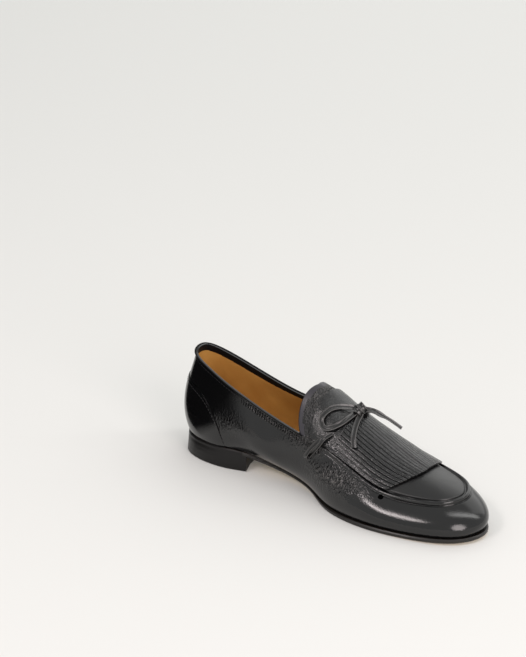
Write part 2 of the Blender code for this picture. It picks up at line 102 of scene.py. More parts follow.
# Sections of the last from the heel to the toe: both edges of the sole, the ledge it leaves outside
# the wall, the wall's bellies and the height of them, and the wall's top edge
Section = namedtuple(
    "Section",
    "name inner_x inner_y outer_x outer_y ledge inner_belly outer_belly belly_at"
    " line_x inner_line outer_line inner_z outer_z",
)
SECTIONS = (
    Section("heel_back", 0.8, 0.0, 0.8, 0.0, 2.0, 6.0, 6.0, 0.42, 7.2, 0.0, 0.0, 77.8, 77.8),
    Section(
        "heel_corner", 6.8, -15.4, 6.8, 15.2, 1.8, 5.8, 5.8, 0.40, 10.2, -9.6, 9.6, 75.4, 75.0
    ),
    Section(
        "heel_side", 24.0, -23.5, 24.0, 22.3, 1.5, 5.2, 5.2, 0.36, 25.5, -15.6, 15.6, 70.2, 68.4
    ),
    Section("seat", 46.0, -23.8, 44.0, 24.0, 1.2, 4.5, 5.0, 0.36, 46.0, -19.6, 19.6, 63.8, 60.2),
    Section("breast", 63.0, -19.2, 62.0, 26.0, 0.8, 7.8, 4.5, 0.38, 66.0, -21.0, 21.0, 57.3, 54.2),
    Section("waist", 92.0, -13.8, 90.0, 29.9, 0.6, 10.6, 5.9, 0.40, 92.0, -22.5, 22.5, 50.0, 49.4),
    Section(
        "throat", 118.0, -19.3, 115.0, 36.5, 0.8, 6.6, 5.9, 0.40, 116.0, -25.5, 25.5, 46.0, 46.0
    ),
    Section(
        "joint", 141.0, -33.5, 136.0, 40.8, 1.5, 3.8, 6.4, 0.40, 137.0, -26.4, 26.4, 40.6, 41.0
    ),
    Section("ball", 168.0, -40.2, 160.0, 41.8, 2.0, 5.8, 6.4, 0.45, 161.0, -28.2, 28.2, 32.3, 34.0),
    Section("vamp", 200.0, -38.2, 198.0, 34.1, 2.0, 5.5, 4.0, 0.45, 190.0, -27.8, 28.0, 24.2, 27.2),
    Section(
        "toe_corner", 229.0, -30.2, 228.0, 22.9, 2.0, 6.0, 5.0, 0.48, 218.0, -20.0, 19.5, 23.6, 25.8
    ),
    Section(
        "toe_side", 245.0, -17.9, 244.5, 10.5, 2.0, 7.0, 6.5, 0.50, 228.5, -12.0, 10.0, 24.4, 25.4
    ),
    Section(
        "toe_tip", 250.0, -3.2, 250.0, -3.2, 2.6, 7.5, 7.5, 0.50, 232.5, -1.0, -1.0, 25.2, 25.2
    ),
)

# Ridge of the instep, with its straight ends carried on a little past the tongue
RidgePoint = namedtuple("RidgePoint", "x y z")
RIDGE = (
    RidgePoint(90.0, 0.0, 75.7),
    RidgePoint(112.0, 0.0, 75.0),
    RidgePoint(118.0, 0.0, 74.8),
    RidgePoint(122.0, 0.0, 72.4),
    RidgePoint(127.0, 0.0, 66.4),
    RidgePoint(140.0, -0.4, 58.9),
    RidgePoint(168.0, -0.9, 46.0),
    RidgePoint(182.0, -1.1, 39.0),
    RidgePoint(198.0, -1.3, 33.4),
    RidgePoint(215.0, -1.0, 30.2),
    RidgePoint(228.0, -1.0, 27.0),
)

# Lace at the throat's lower corners: its place along the front part, up the wall or the apron, and
# how far it stands off. Its two ends go into the leather.
BarSpot = namedtuple("BarSpot", "face along up lift")
LACE_BAR = (
    BarSpot("apron", 0.175, 0.25, 1.4),
    BarSpot("apron", 0.145, 0.13, 3.6),
    BarSpot("apron", 0.12, 0.03, 3.5),
    BarSpot("wall", 0.085, 0.90, 2.5),
    BarSpot("wall", 0.06, 0.74, 1.9),
    BarSpot("wall", 0.05, 0.67, -0.4),
)

# Routes of the bow's loops and ends, x y z, from inside the knot
BOW_ROUTES = {
    "bow_loop_inner": (
        (144.4, 1.6, 64.6), (140.9, -0.1, 65.0), (137.0, -4.2, 65.9), (134.4, -7.3, 66.3),
        (131.3, -12.4, 66.0), (129.2, -17.6, 63.9), (128.8, -21.4, 60.6), (131.0, -23.1, 56.8),
        (133.9, -22.8, 55.5), (137.2, -21.0, 56.3), (140.0, -18.1, 57.9), (142.3, -14.0, 59.7),
        (143.4, -9.3, 61.2), (144.0, -2.9, 62.5),
    ),
    "bow_loop_outer": (
        (145.0, 3.2, 63.4), (144.2, 5.8, 62.6), (141.8, 9.6, 61.5), (139.4, 13.4, 60.9),
        (137.3, 16.9, 59.7), (136.0, 20.0, 57.6), (136.7, 21.9, 55.5), (139.0, 21.1, 55.4),
        (141.2, 18.5, 56.8), (143.4, 15.2, 58.2), (145.1, 11.9, 59.0), (147.0, 6.3, 61.0),
    ),
    "bow_end_inner": (
        (146.0, 1.2, 63.0), (147.3, -1.4, 61.3), (148.6, -6.6, 59.3), (150.4, -12.2, 56.2),
        (152.8, -17.4, 52.2), (156.4, -21.8, 47.0),
    ),
    "bow_end_outer": (
        (146.0, 2.2, 63.9), (148.8, 4.2, 63.9), (150.9, 5.8, 63.4), (153.3, 8.3, 61.9),
        (156.7, 10.9, 59.3), (160.7, 13.5, 56.6), (164.8, 16.0, 53.3), (168.6, 18.0, 50.2),
    ),
}
BOW_AXIS_Z = 34.0
BOW_FACES = {
    "bow_loop_inner": (0.35, -0.70, 0.60),
    "bow_end_inner": (0.35, -0.70, 0.60),
    "bow_end_outer": (0.35, -0.55, 0.75),
}
# Shares of the outer end's length between which it narrows, and the width left
OUTER_END_NARROWS = (0.42, 0.6, 0.66)

# Camera fitted to the photo: where it looks on the floor, from where, how far, and its focal length
# in pixels of the photo's long side
LOOK_AT = (-90.4, 201.7, 0.0)
CAMERA_AZIMUTH = 37.2
CAMERA_ELEVATION = 22.29
CAMERA_FAR = 1672.1
FOCAL_PIXELS = 2000.0
LONG_SIDE_PIXELS = 657.0
SENSOR = 36.0


# Sizes and colours that a user would change


def millimetres(name, description, default):
    """A length in millimetres."""
    return FloatProperty(name=name, description=description, default=default)


def hex_colour(name, description, default):
    """A colour as an sRGB hex value."""
    return StringProperty(name=name, description=description, default=default)


class LoaferSizes(bpy.types.PropertyGroup):
    """Sizes of the dressing, in millimetres."""

    wall: millimetres("Wall", "Thickness of upper and lining", 1.3)
    seam_high: millimetres("Seam height", "How far the apron seam stands proud", 1.2)
    groove_deep: millimetres("Groove", "Depth of the groove beside the apron seam", 1.1)
    binding: millimetres("Binding", "Leather turned in over the topline", 5.6)
    roll: millimetres("Throat roll", "Thickness of the tongue's rolled edge", 4.4)
    bead: millimetres("Topline bead", "Thickness of the topline's edge", 0.8)
    lace_wide: millimetres("Lace width", "Width of the lace", 3.7)
    lace_thick: millimetres("Lace thickness", "Thickness of the lace", 2.1)
    knot: millimetres("Knot", "Radius of the knot's core", 3.5)
    stitch_pitch: millimetres("Stitch pitch", "From one stitch to the next", 2.6)
    stitch_long: millimetres("Stitch length", "Length of one stitch", 1.8)
    thread: millimetres("Thread", "Thickness of the thread", 0.55)
    strip_lift: millimetres("Strip lift", "How unevenly the fringe's strips end", 0.45)
    subdivide: IntProperty(
        name="Smoothing", description="Subdivision of pieces that follow a solid", default=2
    )


class LoaferColours(bpy.types.PropertyGroup):
    """Colours as sRGB hex values."""

    black: hex_colour("Upper", "Black leather", "#070708")
    lace: hex_colour("Lace", "Black lace leather", "#060606")
    # Paler grey painted on a lace's edges, as a highlight
    lace_edge_highlight: hex_colour("Lace edge", "Painted highlight on the edges", "#464544")
    # Lilac grey painted on the rolled edges, as a cool sheen
    turned: hex_colour("Turned edge", "Folded leather, painted cool sheen", "#211F25")
    # Paler grey painted on the tops of the strongest crinkles, as a highlight
    ridge: hex_colour("Crinkle ridge", "Painted highlight on crinkle ridges", "#625F5E")
    thread: hex_colour("Thread", "Black thread", "#0D0D0E")
    lining: hex_colour("Lining", "Tan lining", "#C6964F")
    lining_worn: hex_colour("Lining shade", "Darker tan", "#AA7735")
    sole: hex_colour("Sole", "Natural sole leather", "#E8D2A8")
    sole_shade: hex_colour("Sole shade", "Its pores", "#D4B886")
    edge: hex_colour("Sole edge", "Edge paint", "#100D0B")
    heel: hex_colour("Heel", "Black heel leather", "#0F0E0E")
    top_piece: hex_colour("Top piece", "Heel rubber", "#353130")
    floor: hex_colour("Floor", "Opal sheet", "#D6D6D4")


# The shape of the last


class RibLoop:
    """A closed cubic spline through the ribs of both sides, with its parameter from 0 to 2.

    It runs from the heel (0) along the inner side to the toe (1) and back along the outer side.
    """

    def __init__(self, inner, outer):
        inner, outer = np.array(inner, float), np.array(outer, float)
        steps = [np.linalg.norm(np.diff(side[:, :2], axis=0), axis=1) for side in (inner, outer)]
        halves = np.concatenate([[0.0], np.cumsum(steps[0] + steps[1])])
        self.stations = halves / halves[-1]
        self.rows = np.concatenate([inner, outer[-2:0:-1]])
        self.knots = np.concatenate([self.stations, 2.0 - self.stations[-2::-1]])
        self.bends = self._bends(np.diff(self.knots))

    def _bends(self, steps):
        """Second derivatives at the ribs, which keep the spline smooth where it closes too."""
        count = len(steps)
        matrix = np.zeros((count, count))
        right = np.zeros_like(self.rows)
        for i in range(count):
            before, after = steps[i - 1], steps[i]
            matrix[i, i - 1] += before
            matrix[i, i] += 2 * (before + after)
            matrix[i, (i + 1) % count] += after
            rise_after = (self.rows[(i + 1) % count] - self.rows[i]) / after
            rise_before = (self.rows[i] - self.rows[i - 1]) / before
            right[i] = 6 * (rise_after - rise_before)
        return np.linalg.solve(matrix, right)

    def __call__(self, s):
        """Rows of the spline at stations s."""
        s = np.mod(np.atleast_1d(s), 2.0)
        i = np.clip(np.searchsorted(self.knots, s, side="right") - 1, 0, len(self.rows) - 1)
        j = (i + 1) % len(self.rows)
        step = (self.knots[i + 1] - self.knots[i])[:, None]
        a = (self.knots[i + 1] - s)[:, None] / step
        b = 1.0 - a
        bend = (a**3 - a) * self.bends[i] + (b**3 - b) * self.bends[j]
        return a * self.rows[i] + b * self.rows[j] + bend * step * step / 6


LAST = RibLoop(
    [(r.inner_x, r.inner_y, r.ledge, r.inner_belly, r.belly_at, r.line_x, r.inner_line, r.inner_z)
     for r in SECTIONS],
    [(r.outer_x, r.outer_y, r.ledge, r.outer_belly, r.belly_at, r.line_x, r.outer_line, r.outer_z)
     for r in SECTIONS],
)
THROAT = LAST.stations[[section.name for section in SECTIONS].index("throat")]


def smooth_step(x, start, end):
    """A rise from 0 at start to 1 at end, level at both."""
    share = np.clip((x - start) / (end - start), 0.0, 1.0)
    return share * share * (3 - 2 * share)


def averaged(curve, x, window):
    """Mean of a curve near x, which rounds its corners."""
    return np.mean([curve(x + offset) for offset in np.linspace(-window, window, 9)], axis=0)


def sole_profile(x):
    """Height of the sole's underside, before its corners are rounded."""
    waist = np.clip((x - SEAT_END) / (WAIST_END - SEAT_END), 0.0, 1.0)
    toe = np.maximum((x - TREAD_END) / (TOE_END - TREAD_END), 0.0)
    return HEEL_LIFT * (1 - waist) ** WAIST_POWER + TOE_SPRING * toe**TOE_POWER


def sole_top(x):
    """Height of the sole's upper face, which is thinner at the waist."""
    bottom = np.where(x < TREAD_START, averaged(sole_profile, x, SEAT_BLEND), sole_profile(x))
    thin = smooth_step(x, *THIN_FROM) - smooth_step(x, *THIN_TO)
    return bottom + SOLE_THICK - WAIST_THIN * thin


def outward(s):
    """Unit normals of the sole's outline in plan, away from the shoe."""
    step = 1e-4
    run = LAST(s + step)[:, :2] - LAST(s - step)[:, :2]
    return np.stack([run[:, 1], -run[:, 0]], axis=1) / np.linalg.norm(run, axis=1)[:, None]


def wall_grid(s, t):
    """Outer face of the wall at stations s and heights t, 0 at the sole to 1 at the top edge."""
    s, t = np.atleast_1d(s), np.atleast_1d(t)
    rib, out = LAST(s), outward(s)
    plan = rib[:, :2] - out * rib[:, 2:3]
    foot = np.column_stack([plan, sole_top(plan[:, 0]) + SOLE_GAP])
    belly, belly_at = rib[:, 3:4], rib[:, 4:5]
    bulge = belly * (t / belly_at) * ((1 - t) / (1 - belly_at)) ** ((1 - belly_at) / belly_at)
    points = foot[:, None] + (rib[:, None, 5:8] - foot[:, None]) * t[None, :, None]
    points[..., :2] += out[:, None] * bulge[..., None]
    return points


def ridge_height(x):
    """Height of the instep's ridge, with its corners rounded."""

    def table(place):
        return np.interp(place, [point.x for point in RIDGE], [point.z for point in RIDGE])

    return averaged(table, x, RIDGE_BLEND)


def front_station(side, v):
    """Station of the rib at v, from 0 at the throat to 1 at the tip of the toe."""
    along = THROAT + (1 - THROAT) * np.atleast_1d(v)
    return along if side < 0 else 2.0 - along


def front_spot(face, side, along, up):
    """A place on the front part's wall or apron, and the outward normal there."""
    step = 1e-3
    alongs, heights = [along, along + step], [up, up + step]
    if face == "apron":
        corner = apron_grid(side, alongs, heights)
    else:
        corner = wall_grid(front_station(side, alongs), heights)
    normal = np.cross(corner[1, 0] - corner[0, 0], corner[0, 1] - corner[0, 0])
    return corner[0, 0], unit(normal) * -side


def apron_grid(side, v, q):
    """Outer face of apron and tongue: v from throat to toe, q from the seam to the ridge."""
    v, q = np.atleast_1d(v), np.atleast_1d(q)[None, :]
    start = LAST(front_station(side, v))[:, 5:8]
    back_x, front_x = LAST(THROAT)[0, 5], LAST(1.0)[0, 5]
    x = RIDGE_BACK_X + (RIDGE_FRONT_X - RIDGE_BACK_X) * (start[:, 0] - back_x) / (front_x - back_x)
    y = np.interp(x, [point.x for point in RIDGE], [point.y for point in RIDGE])
    end = np.column_stack([x, y, ridge_height(x)])
    run = end - start
    end_rise = (run[:, 0] * (ridge_height(x + 1) - ridge_height(x - 1)) / 2)[:, None]
    full = TONGUE_FULL + (1.0 - TONGUE_FULL) * smooth_step(v, 0.0, TONGUE_FULL_END)
    start_rise = full[:, None] * (2 * run[:, 2:3] - end_rise)
    points = start[:, None] + run[:, None] * q[..., None]
    bow = np.maximum(1 - v / THROAT_BOW_END, 0.0)[:, None] ** 2
    points[..., 0] -= THROAT_BOW * bow * np.sin(np.pi * q**THROAT_BOW_LEAN)
    points[..., 2] = (
        (2 * q**3 - 3 * q**2 + 1) * start[:, 2:3]
        + (q**3 - 2 * q**2 + q) * start_rise
        + (3 * q**2 - 2 * q**3) * end[:, 2:3]
        + (q**3 - q**2) * end_rise
    )
    return points


def unit(vectors):
    """Vectors made one long."""
    return vectors / np.linalg.norm(vectors, axis=-1, keepdims=True)


def from_axis(points, height):
    """Unit vectors from a line along the shoe, at a height, to points."""
    return unit(np.column_stack([np.zeros(len(points)), points[:, 1], points[:, 2] - height]))


def run_lengths(points, axis):
    """Lengths along one axis of a table of points, from 0 at its start."""
    steps = np.linalg.norm(np.diff(points, axis=axis), axis=-1)
    start = np.zeros_like(np.take(steps, [0], axis=axis))
    return np.concatenate([start, np.cumsum(steps, axis=axis)], axis=axis)


def line_at(grid, lengths, depth):
    """The line at one depth across a table of columns, and the normals of the face there."""
    rows = []
    for column, run in zip(grid, lengths):
        order = np.argsort(run)
        rows.append([
            [np.interp(place, run[order], column[order, axis]) for axis in range(3)]
            for place in (depth, depth + 0.5)
        ])
    rows = np.array(rows)
    normals = np.cross(np.gradient(rows[:, 0], axis=0), rows[:, 0] - rows[:, 1])
    return rows[:, 0], unit(normals)


# Blender helpers

SHARP_EDGE = 50.0


def at(points):
    """Metres in the row frame from millimetres on the shoe's axes."""
    return (np.asarray(points, float) + SHIFT) * MM


def linear(hex_value):
    """Linear colour of an sRGB hex value."""
    parts = [int(hex_value[i:i + 2], 16) / 255 for i in (1, 3, 5)]
    return (*[p / 12.92 if p <= 0.04045 else ((p + 0.055) / 1.055) ** 2.4 for p in parts], 1.0)


def new_object(name, data):
    """A new object in the scene, with its mesh, camera or lamp."""
    obj = bpy.data.objects.new(name, data)
    bpy.context.collection.objects.link(obj)
    return obj


def only(obj):
    """Make one object the active and the only selected one."""
    bpy.ops.object.select_all(action="DESELECT")
    obj.select_set(True)
    bpy.context.view_layer.objects.active = obj


def modify(obj, kind, **settings):
    """Add a modifier and apply it."""
    modifier = obj.modifiers.new(kind.lower(), kind)
    for key, value in settings.items():
        setattr(modifier, key, value)
    only(obj)
    bpy.ops.object.modifier_apply(modifier=modifier.name)


def round_edges(obj, width, angle=SHARP_EDGE):
    """Bevel the edges sharper than an angle, to a width in millimetres."""
    modify(obj, "BEVEL", width=width * MM, segments=3, limit_method="ANGLE",
           angle_limit=math.radians(angle))


def set_outward(obj, merge=None):
    """Turn a mesh's faces outward, once points nearer than merge millimetres are joined."""
    only(obj)
    bpy.ops.object.mode_set(mode="EDIT")
    bpy.ops.mesh.select_all(action="SELECT")
    if merge:
        bpy.ops.mesh.remove_doubles(threshold=merge * MM)
    bpy.ops.mesh.normals_make_consistent(inside=False)
    bpy.ops.object.mode_set(mode="OBJECT")


def shade_by_angle(angle=SHARP_EDGE):
    """Shade the active object smooth, apart from edges sharper than an angle."""
    bpy.ops.object.shade_smooth_by_angle(angle=math.radians(angle))


def copy_of(node, name):
    """A copy of a solid's mesh, with its loose triangles joined into quads."""
    obj = new_object(name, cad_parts[node].data.copy())
    obj.data.materials.clear()
    only(obj)
    bpy.ops.mesh.customdata_custom_splitnormals_clear()
    bpy.ops.object.mode_set(mode="EDIT")
    bpy.ops.mesh.select_all(action="SELECT")
    bpy.ops.mesh.remove_doubles(threshold=0.01 * MM)
    bpy.ops.mesh.tris_convert_to_quads(face_threshold=1.3, shape_threshold=1.3)
    bpy.ops.mesh.mark_sharp(clear=True)
    bpy.ops.object.mode_set(mode="OBJECT")
    return obj


def mesh_object(name, points, faces):
    """An object from points on the shoe's axes and the faces between them."""
    mesh = bpy.data.meshes.new(name)
    mesh.from_pydata(at(points).tolist(), [], faces)
    return new_object(name, mesh)


def mesh_points(obj, key="vertices", field="co"):
    """A table of a mesh's points, or of its normals."""
    data = np.zeros(len(getattr(obj.data, key)) * 3)
    getattr(obj.data, key).foreach_get(field, data)
    return data.reshape(-1, 3)


def shoe_points(obj):
    """An object's points in millimetres on the shoe's axes."""
    return mesh_points(obj) / MM - SHIFT


def move_points(obj, points):
    """Put a mesh's points at places on the shoe's axes."""
    obj.data.vertices.foreach_set("co", at(points).ravel())
    obj.data.update()


def write_attribute(obj, name, values):
    """Give each point of a mesh a value that a material or a later step reads."""
    layer = obj.data.attributes.new(name, "FLOAT", "POINT")
    layer.data.foreach_set("value", np.asarray(values, float).ravel())


def read_attribute(obj, name):
    """Each point's value of an attribute."""
    values = np.zeros(len(obj.data.vertices))
    obj.data.attributes[name].data.foreach_get("value", values)
    return values


def dress(obj, slot, materials, *nodes):
    """Give a finished piece its materials and its body, and hide the solids that it stands for. The
    slot is not used.
    """
    for material in materials:
        obj.data.materials.append(material)
    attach(obj, BODY)
    if nodes:
        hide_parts(*nodes)
    return obj


def grid_piece(name, points, **attributes):
    """A grid primitive whose points go to the places in a table of columns and rows."""
    columns, rows = points.shape[0] - 1, points.shape[1] - 1
    bpy.ops.object.select_all(action="DESELECT")
    bpy.ops.mesh.primitive_grid_add(x_subdivisions=columns, y_subdivisions=rows, size=1.0)
    obj = bpy.context.object
    obj.name = obj.data.name = name
    flat = mesh_points(obj)
    column = np.rint((flat[:, 0] + 0.5) * columns).astype(int)
    row = np.rint((flat[:, 1] + 0.5) * rows).astype(int)
    move_points(obj, points[column, row])
    for key, table in attributes.items():
        write_attribute(obj, key, table[column, row])
    return obj


def smooth_route(points, spacing):
    """Points spacing apart on a smooth curve through a route's own points."""
    points = np.array(points, float)
    ends = np.concatenate([[2 * points[0] - points[1]], points, [2 * points[-1] - points[-2]]])
    fine = []
    for before, start, end, after in zip(ends, ends[1:], ends[2:], ends[3:]):
        for t in np.linspace(0.0, 1.0, 12, endpoint=False):
            fine.append(0.5 * (
                2 * start
                + (end - before) * t
                + (2 * before - 5 * start + 4 * end - after) * t**2
                + (3 * start - before - 3 * end + after) * t**3
            ))
    return even(np.array(fine + [points[-1]]), spacing)


def even(points, spacing):
    """The same line with its points spacing apart."""
    lengths = run_lengths(points, 0)
    marks = np.linspace(0.0, lengths[-1], max(int(round(lengths[-1] / spacing)), 2) + 1)
    columns = range(points.shape[1])
    return np.stack([np.interp(marks, lengths, points[:, axis]) for axis in columns], axis=1)


def band_outline(width, thick, dip, count=20):
    """Outline of a folded lace: rounded edges, and a dip along the middle of both faces."""
    turn = np.linspace(0.0, 2 * np.pi, count, endpoint=False)
    across = np.sign(np.cos(turn)) * np.abs(np.cos(turn)) ** 0.7
    up = np.sign(np.sin(turn)) * np.abs(np.sin(turn)) ** 0.7
    up *= 1 - dip * (1 - across**2)
    return np.stack([across * width / 2, up * thick / 2], axis=1)


def swept(name, path, ups, outline, closed=False, scale=None):
    """A tube of one outline along a path, its upper side turned to ups, scaled point by point."""
    tangents = np.gradient(path, axis=0)
    if closed:
        tangents = np.roll(path, -1, axis=0) - np.roll(path, 1, axis=0)
    sides = unit(np.cross(tangents, ups))
    ups = unit(np.cross(sides, tangents))
    scale = np.ones(len(path)) if scale is None else scale
    outlines = outline[None] * scale[:, None, None]
    rings = path[:, None] + sides[:, None] * outlines[..., :1] + ups[:, None] * outlines[..., 1:]
    count, size = len(path), len(outline)
    faces = []
    for i in range(count if closed else count - 1):
        a, b = i * size, (i + 1) % count * size
        for j in range(size):
            k = (j + 1) % size
            faces.append((a + j, a + k, b + k, b + j))
    if not closed:
        faces += [tuple(range(size))[::-1], tuple((count - 1) * size + j for j in range(size))]
    obj = mesh_object(name, rings.reshape(-1, 3), faces)
    set_outward(obj)
    shade_by_angle()
    # How far out towards the band's edges each point lies; a lace's edges are painted paler there
    # as a highlight
    write_attribute(obj, "rubbed", np.tile(np.abs(outline[:, 0]) / outline[:, 0].max(), count))
    return obj


def joined(name, pieces):
    """Several objects as one mesh."""
    bpy.ops.object.select_all(action="DESELECT")
    for piece in pieces:
        piece.select_set(True)
    bpy.context.view_layer.objects.active = pieces[0]
    bpy.ops.object.join()
    pieces[0].name = pieces[0].data.name = name
    return pieces[0]


# Materials

# How far apart the wave texture's bands are at scale 1
WAVE_TURN = 0.314


def per_mm(size):
    """Scale of a pattern whose cells are so many millimetres across."""
    return 1 / (size * MM)


def add_node(tree, kind, out, inputs=None, **settings):
    """One node with its settings. An input is a value, or a socket to link. Gives one output."""
    node = tree.nodes.new("ShaderNode" + kind)
    for key, value in settings.items():
        setattr(node, key, value)
    for key, value in (inputs or {}).items():
        if isinstance(value, bpy.types.NodeSocket):
            tree.links.new(value, node.inputs[key])
        else:
            node.inputs[key].default_value = value
    return node.outputs[out]


def maths(tree, operation, *values):
    """One sum, product or other step on values and sockets."""
    return add_node(tree, "Math", "Value", dict(enumerate(values)), operation=operation)


def mixed(tree, factor, first, second):
    """A colour between two others."""
    return add_node(tree, "Mix", "Result", {"Factor": factor, "A": first, "B": second},
                    data_type="RGBA")


def clouds_of(tree, place, size, detail):
    """Soft noise with forms of a size in millimetres."""
    return add_node(tree, "TexNoise", "Fac",
                    {"Vector": place, "Scale": per_mm(size), "Detail": detail})


def cells_of(tree, place, size, feature="F1"):
    """Distances from the middles of cells of a size in millimetres."""
    return add_node(tree, "TexVoronoi", "Distance", {"Vector": place, "Scale": per_mm(size)},
                    feature=feature)


def bump_of(tree, height, strength, deep):
    """Normals of a relief so many millimetres deep."""
    return add_node(tree, "Bump", "Normal",
                    {"Height": height, "Strength": strength, "Distance": deep * MM})


def lighter(colour, times):
    """A hex colour made a number of times lighter, as a linear one."""
    return [min(times * part, 1.0) for part in linear(colour)]


def new_material(name, **sockets):
    """A material with its constant values on the shader's own sockets."""
    material = bpy.data.materials.new(name)
    material.use_nodes = True
    shader = material.node_tree.nodes["Principled BSDF"]
    for key, value in sockets.items():
        shader.inputs[key.replace("_", " ")].default_value = value
    return material, material.node_tree, shader


def link(tree, shader, **sockets):
    """Link patterns to the shader's sockets."""
    for key, value in sockets.items():
        tree.links.new(value, shader.inputs[key.replace("_", " ")])


def calf_leather(colours):
    """Glazed calf leather, black: smooth and glossy on the toe, drawn into small crinkles where it
    bends, and puckered along the stitched topline. Crinkles break the gloss into sparkle.
    """
    material, tree, shader = new_material("glazed_calf_leather", IOR=1.55)
    place = add_node(tree, "TexCoord", "Object")
    crinkle, pucker, along, satin = [
        add_node(tree, "Attribute", "Fac", attribute_name=name)
        for name in ("crinkle", "pucker", "along_line", "satin")
    ]
    # Crinkles about 0.9 mm across and twice as tall, in folds of 2.4 mm, and pores of 0.7 mm
    upright = add_node(tree, "Mapping", "Vector", {"Vector": place, "Scale": (1.0, 1.0, 0.45)})
    folds = clouds_of(tree, place, 2.4, 3.0)
    pores = cells_of(tree, place, 0.7)
    rough_cells = maths(tree, "ADD", cells_of(tree, upright, 0.9, "SMOOTH_F1"), folds)
    drawn = maths(tree, "MULTIPLY", rough_cells, crinkle)
    # Ridges of the strongest crinkles, painted paler as a highlight on their tops
    ridges = add_node(tree, "MapRange", "Result",
                      {"Value": rough_cells, "From Min": 0.9, "From Max": 1.25})
    ridge_highlight = maths(tree, "MULTIPLY", ridges, maths(tree, "POWER", crinkle, 2.5))
    shade = mixed(tree, ridge_highlight, linear(colours.black), linear(colours.ridge))
    # Puckers 2.2 mm apart, leaning as the thread pulls them
    swing = maths(tree, "MULTIPLY", folds, 7.0)
    wave = maths(tree, "SINE", maths(tree, "MULTIPLY_ADD", along, 2 * math.pi / 2.2, swing))
    pulled = maths(tree, "MULTIPLY_ADD", wave, pucker, drawn)
    height = maths(tree, "MULTIPLY_ADD", pores, 0.02, pulled)
    # Dull where it is crinkled, duller on the apron, with a clouded polish
    dull = maths(tree, "MULTIPLY_ADD", crinkle, 0.16, 0.09)
    rubbed = maths(tree, "MULTIPLY_ADD", satin, 0.2, dull)
    gloss = maths(tree, "MULTIPLY_ADD", clouds_of(tree, place, 18.0, 2.0), 0.06, rubbed)
    link(tree, shader, Base_Color=shade, Normal=bump_of(tree, height, 1.0, 1.2), Roughness=gloss)
    return material


def milled_leather(name, colour, roughness, cell, deep, edge=None):
    """Milled leather, black: a fine pebble pressed in the drum, half matt, with lighter high spots
    and, on a lace, edges painted paler as a highlight.
    """
    material, tree, shader = new_material(name, IOR=1.58)
    place = add_node(tree, "TexCoord", "Object")
    creases = clouds_of(tree, place, 4 * cell, 4.0)
    height = maths(tree, "MULTIPLY_ADD", creases, 0.8, cells_of(tree, place, cell, "SMOOTH_F1"))
    shade = mixed(tree, creases, linear(colour), lighter(colour, 1.9))
    # A lace's edges are painted paler, as a highlight along both sides of the band
    if edge:
        rubbed = add_node(tree, "Attribute", "Fac", attribute_name="rubbed")
        share = add_node(tree, "MapRange", "Result",
                         {"Value": rubbed, "From Min": 0.45, "From Max": 0.9})
        shade = mixed(tree, share, shade, linear(edge))
    gloss = maths(tree, "MULTIPLY_ADD", creases, 0.16, roughness - 0.08)
    link(tree, shader, Base_Color=shade, Normal=bump_of(tree, height, 0.8, deep), Roughness=gloss)
    return material


def lace_leather(colours):
    """Lace folded from milled leather: glossier than the flap, with paler edges that are a painted
    highlight.
    """
    return milled_leather("folded_lace_leather", colours.lace, 0.24, 0.9, 0.08, colours.lace_edge_highlight)


def turned_leather_painted_sheen(colours):
    """Leather rolled over the tongue's edge, in a lilac grey that is a painted cool, dusty sheen.
    """
    return milled_leather("turned_edge_leather", colours.turned, 0.38, 1.1, 0.09)


def topline_leather(colours):
    """Topline's folded edge, rubbed dull: it mirrors almost nothing, so it reads as a black line.
    """
    material = milled_leather("waxed_topline_leather", colours.black, 0.5, 0.8, 0.08)
    shader = material.node_tree.nodes["Principled BSDF"]
    shader.inputs["Specular IOR Level"].default_value = 0.12
    return material


def hole_shade():
    """Raw fibre inside a punched hole, dyed black and without gloss, painted near pure black as
    shade: the hole reads as a dark dot.
    """
    material, _, _ = new_material("raw_hole_edge", Roughness=1.0, Specular_IOR_Level=0.0,
                                  Base_Color=(0.001, 0.001, 0.001, 1.0))
    return material


def two_tone(name, light, dark, spread, pore, deep, roughness):
    """Undyed or dyed leather with soft clouds of two tones and fine pores, as cut from the hide."""
    material, tree, shader = new_material(name, IOR=1.47)
    place = add_node(tree, "TexCoord", "Object")
    clouds = clouds_of(tree, place, spread, 6.0)
    shade = mixed(tree, clouds, linear(light), linear(dark))
    bump = bump_of(tree, cells_of(tree, place, pore), 0.6, deep)
    gloss = maths(tree, "MULTIPLY_ADD", clouds, 0.15, roughness - 0.07)
    link(tree, shader, Base_Color=shade, Normal=bump, Roughness=gloss)
    return material


def burnished_edge(name, colour, layer, roughness, ior=1.5):
    """Painted, burnished edge of stacked leather: dark, waxed, with faint level lines of layers."""
    material, tree, shader = new_material(name, IOR=ior)
    place = add_node(tree, "TexCoord", "Object")
    lines = add_node(
        tree, "TexWave", "Fac",
        {"Vector": place, "Scale": WAVE_TURN * per_mm(layer), "Distortion": 0.6, "Detail": 2.0,
         "Detail Scale": 3.0},
        bands_direction="Z",
    )
    marks = clouds_of(tree, place, 2.5, 5.0)
    height = maths(tree, "MULTIPLY_ADD", marks, 0.7, lines)
    shade = mixed(tree, marks, linear(colour), lighter(colour, 1.6))
    gloss = maths(tree, "MULTIPLY_ADD", marks, 0.2, roughness - 0.1)
    link(tree, shader, Base_Color=shade, Normal=bump_of(tree, height, 0.3, 0.08), Roughness=gloss)
    return material


def waxed_thread(colours):
    """Waxed linen thread, black: two plies twisted, dull, with a thin shine on top."""
    material, tree, shader = new_material("waxed_thread", Roughness=0.55, IOR=1.5)
    plies = clouds_of(tree, add_node(tree, "TexCoord", "Object"), 0.4, 1.0)
    link(tree, shader, Base_Color=mixed(
        tree, plies, linear(colours.thread), lighter(colours.thread, 2.2)
    ))
    return material


# Camera, floor and light

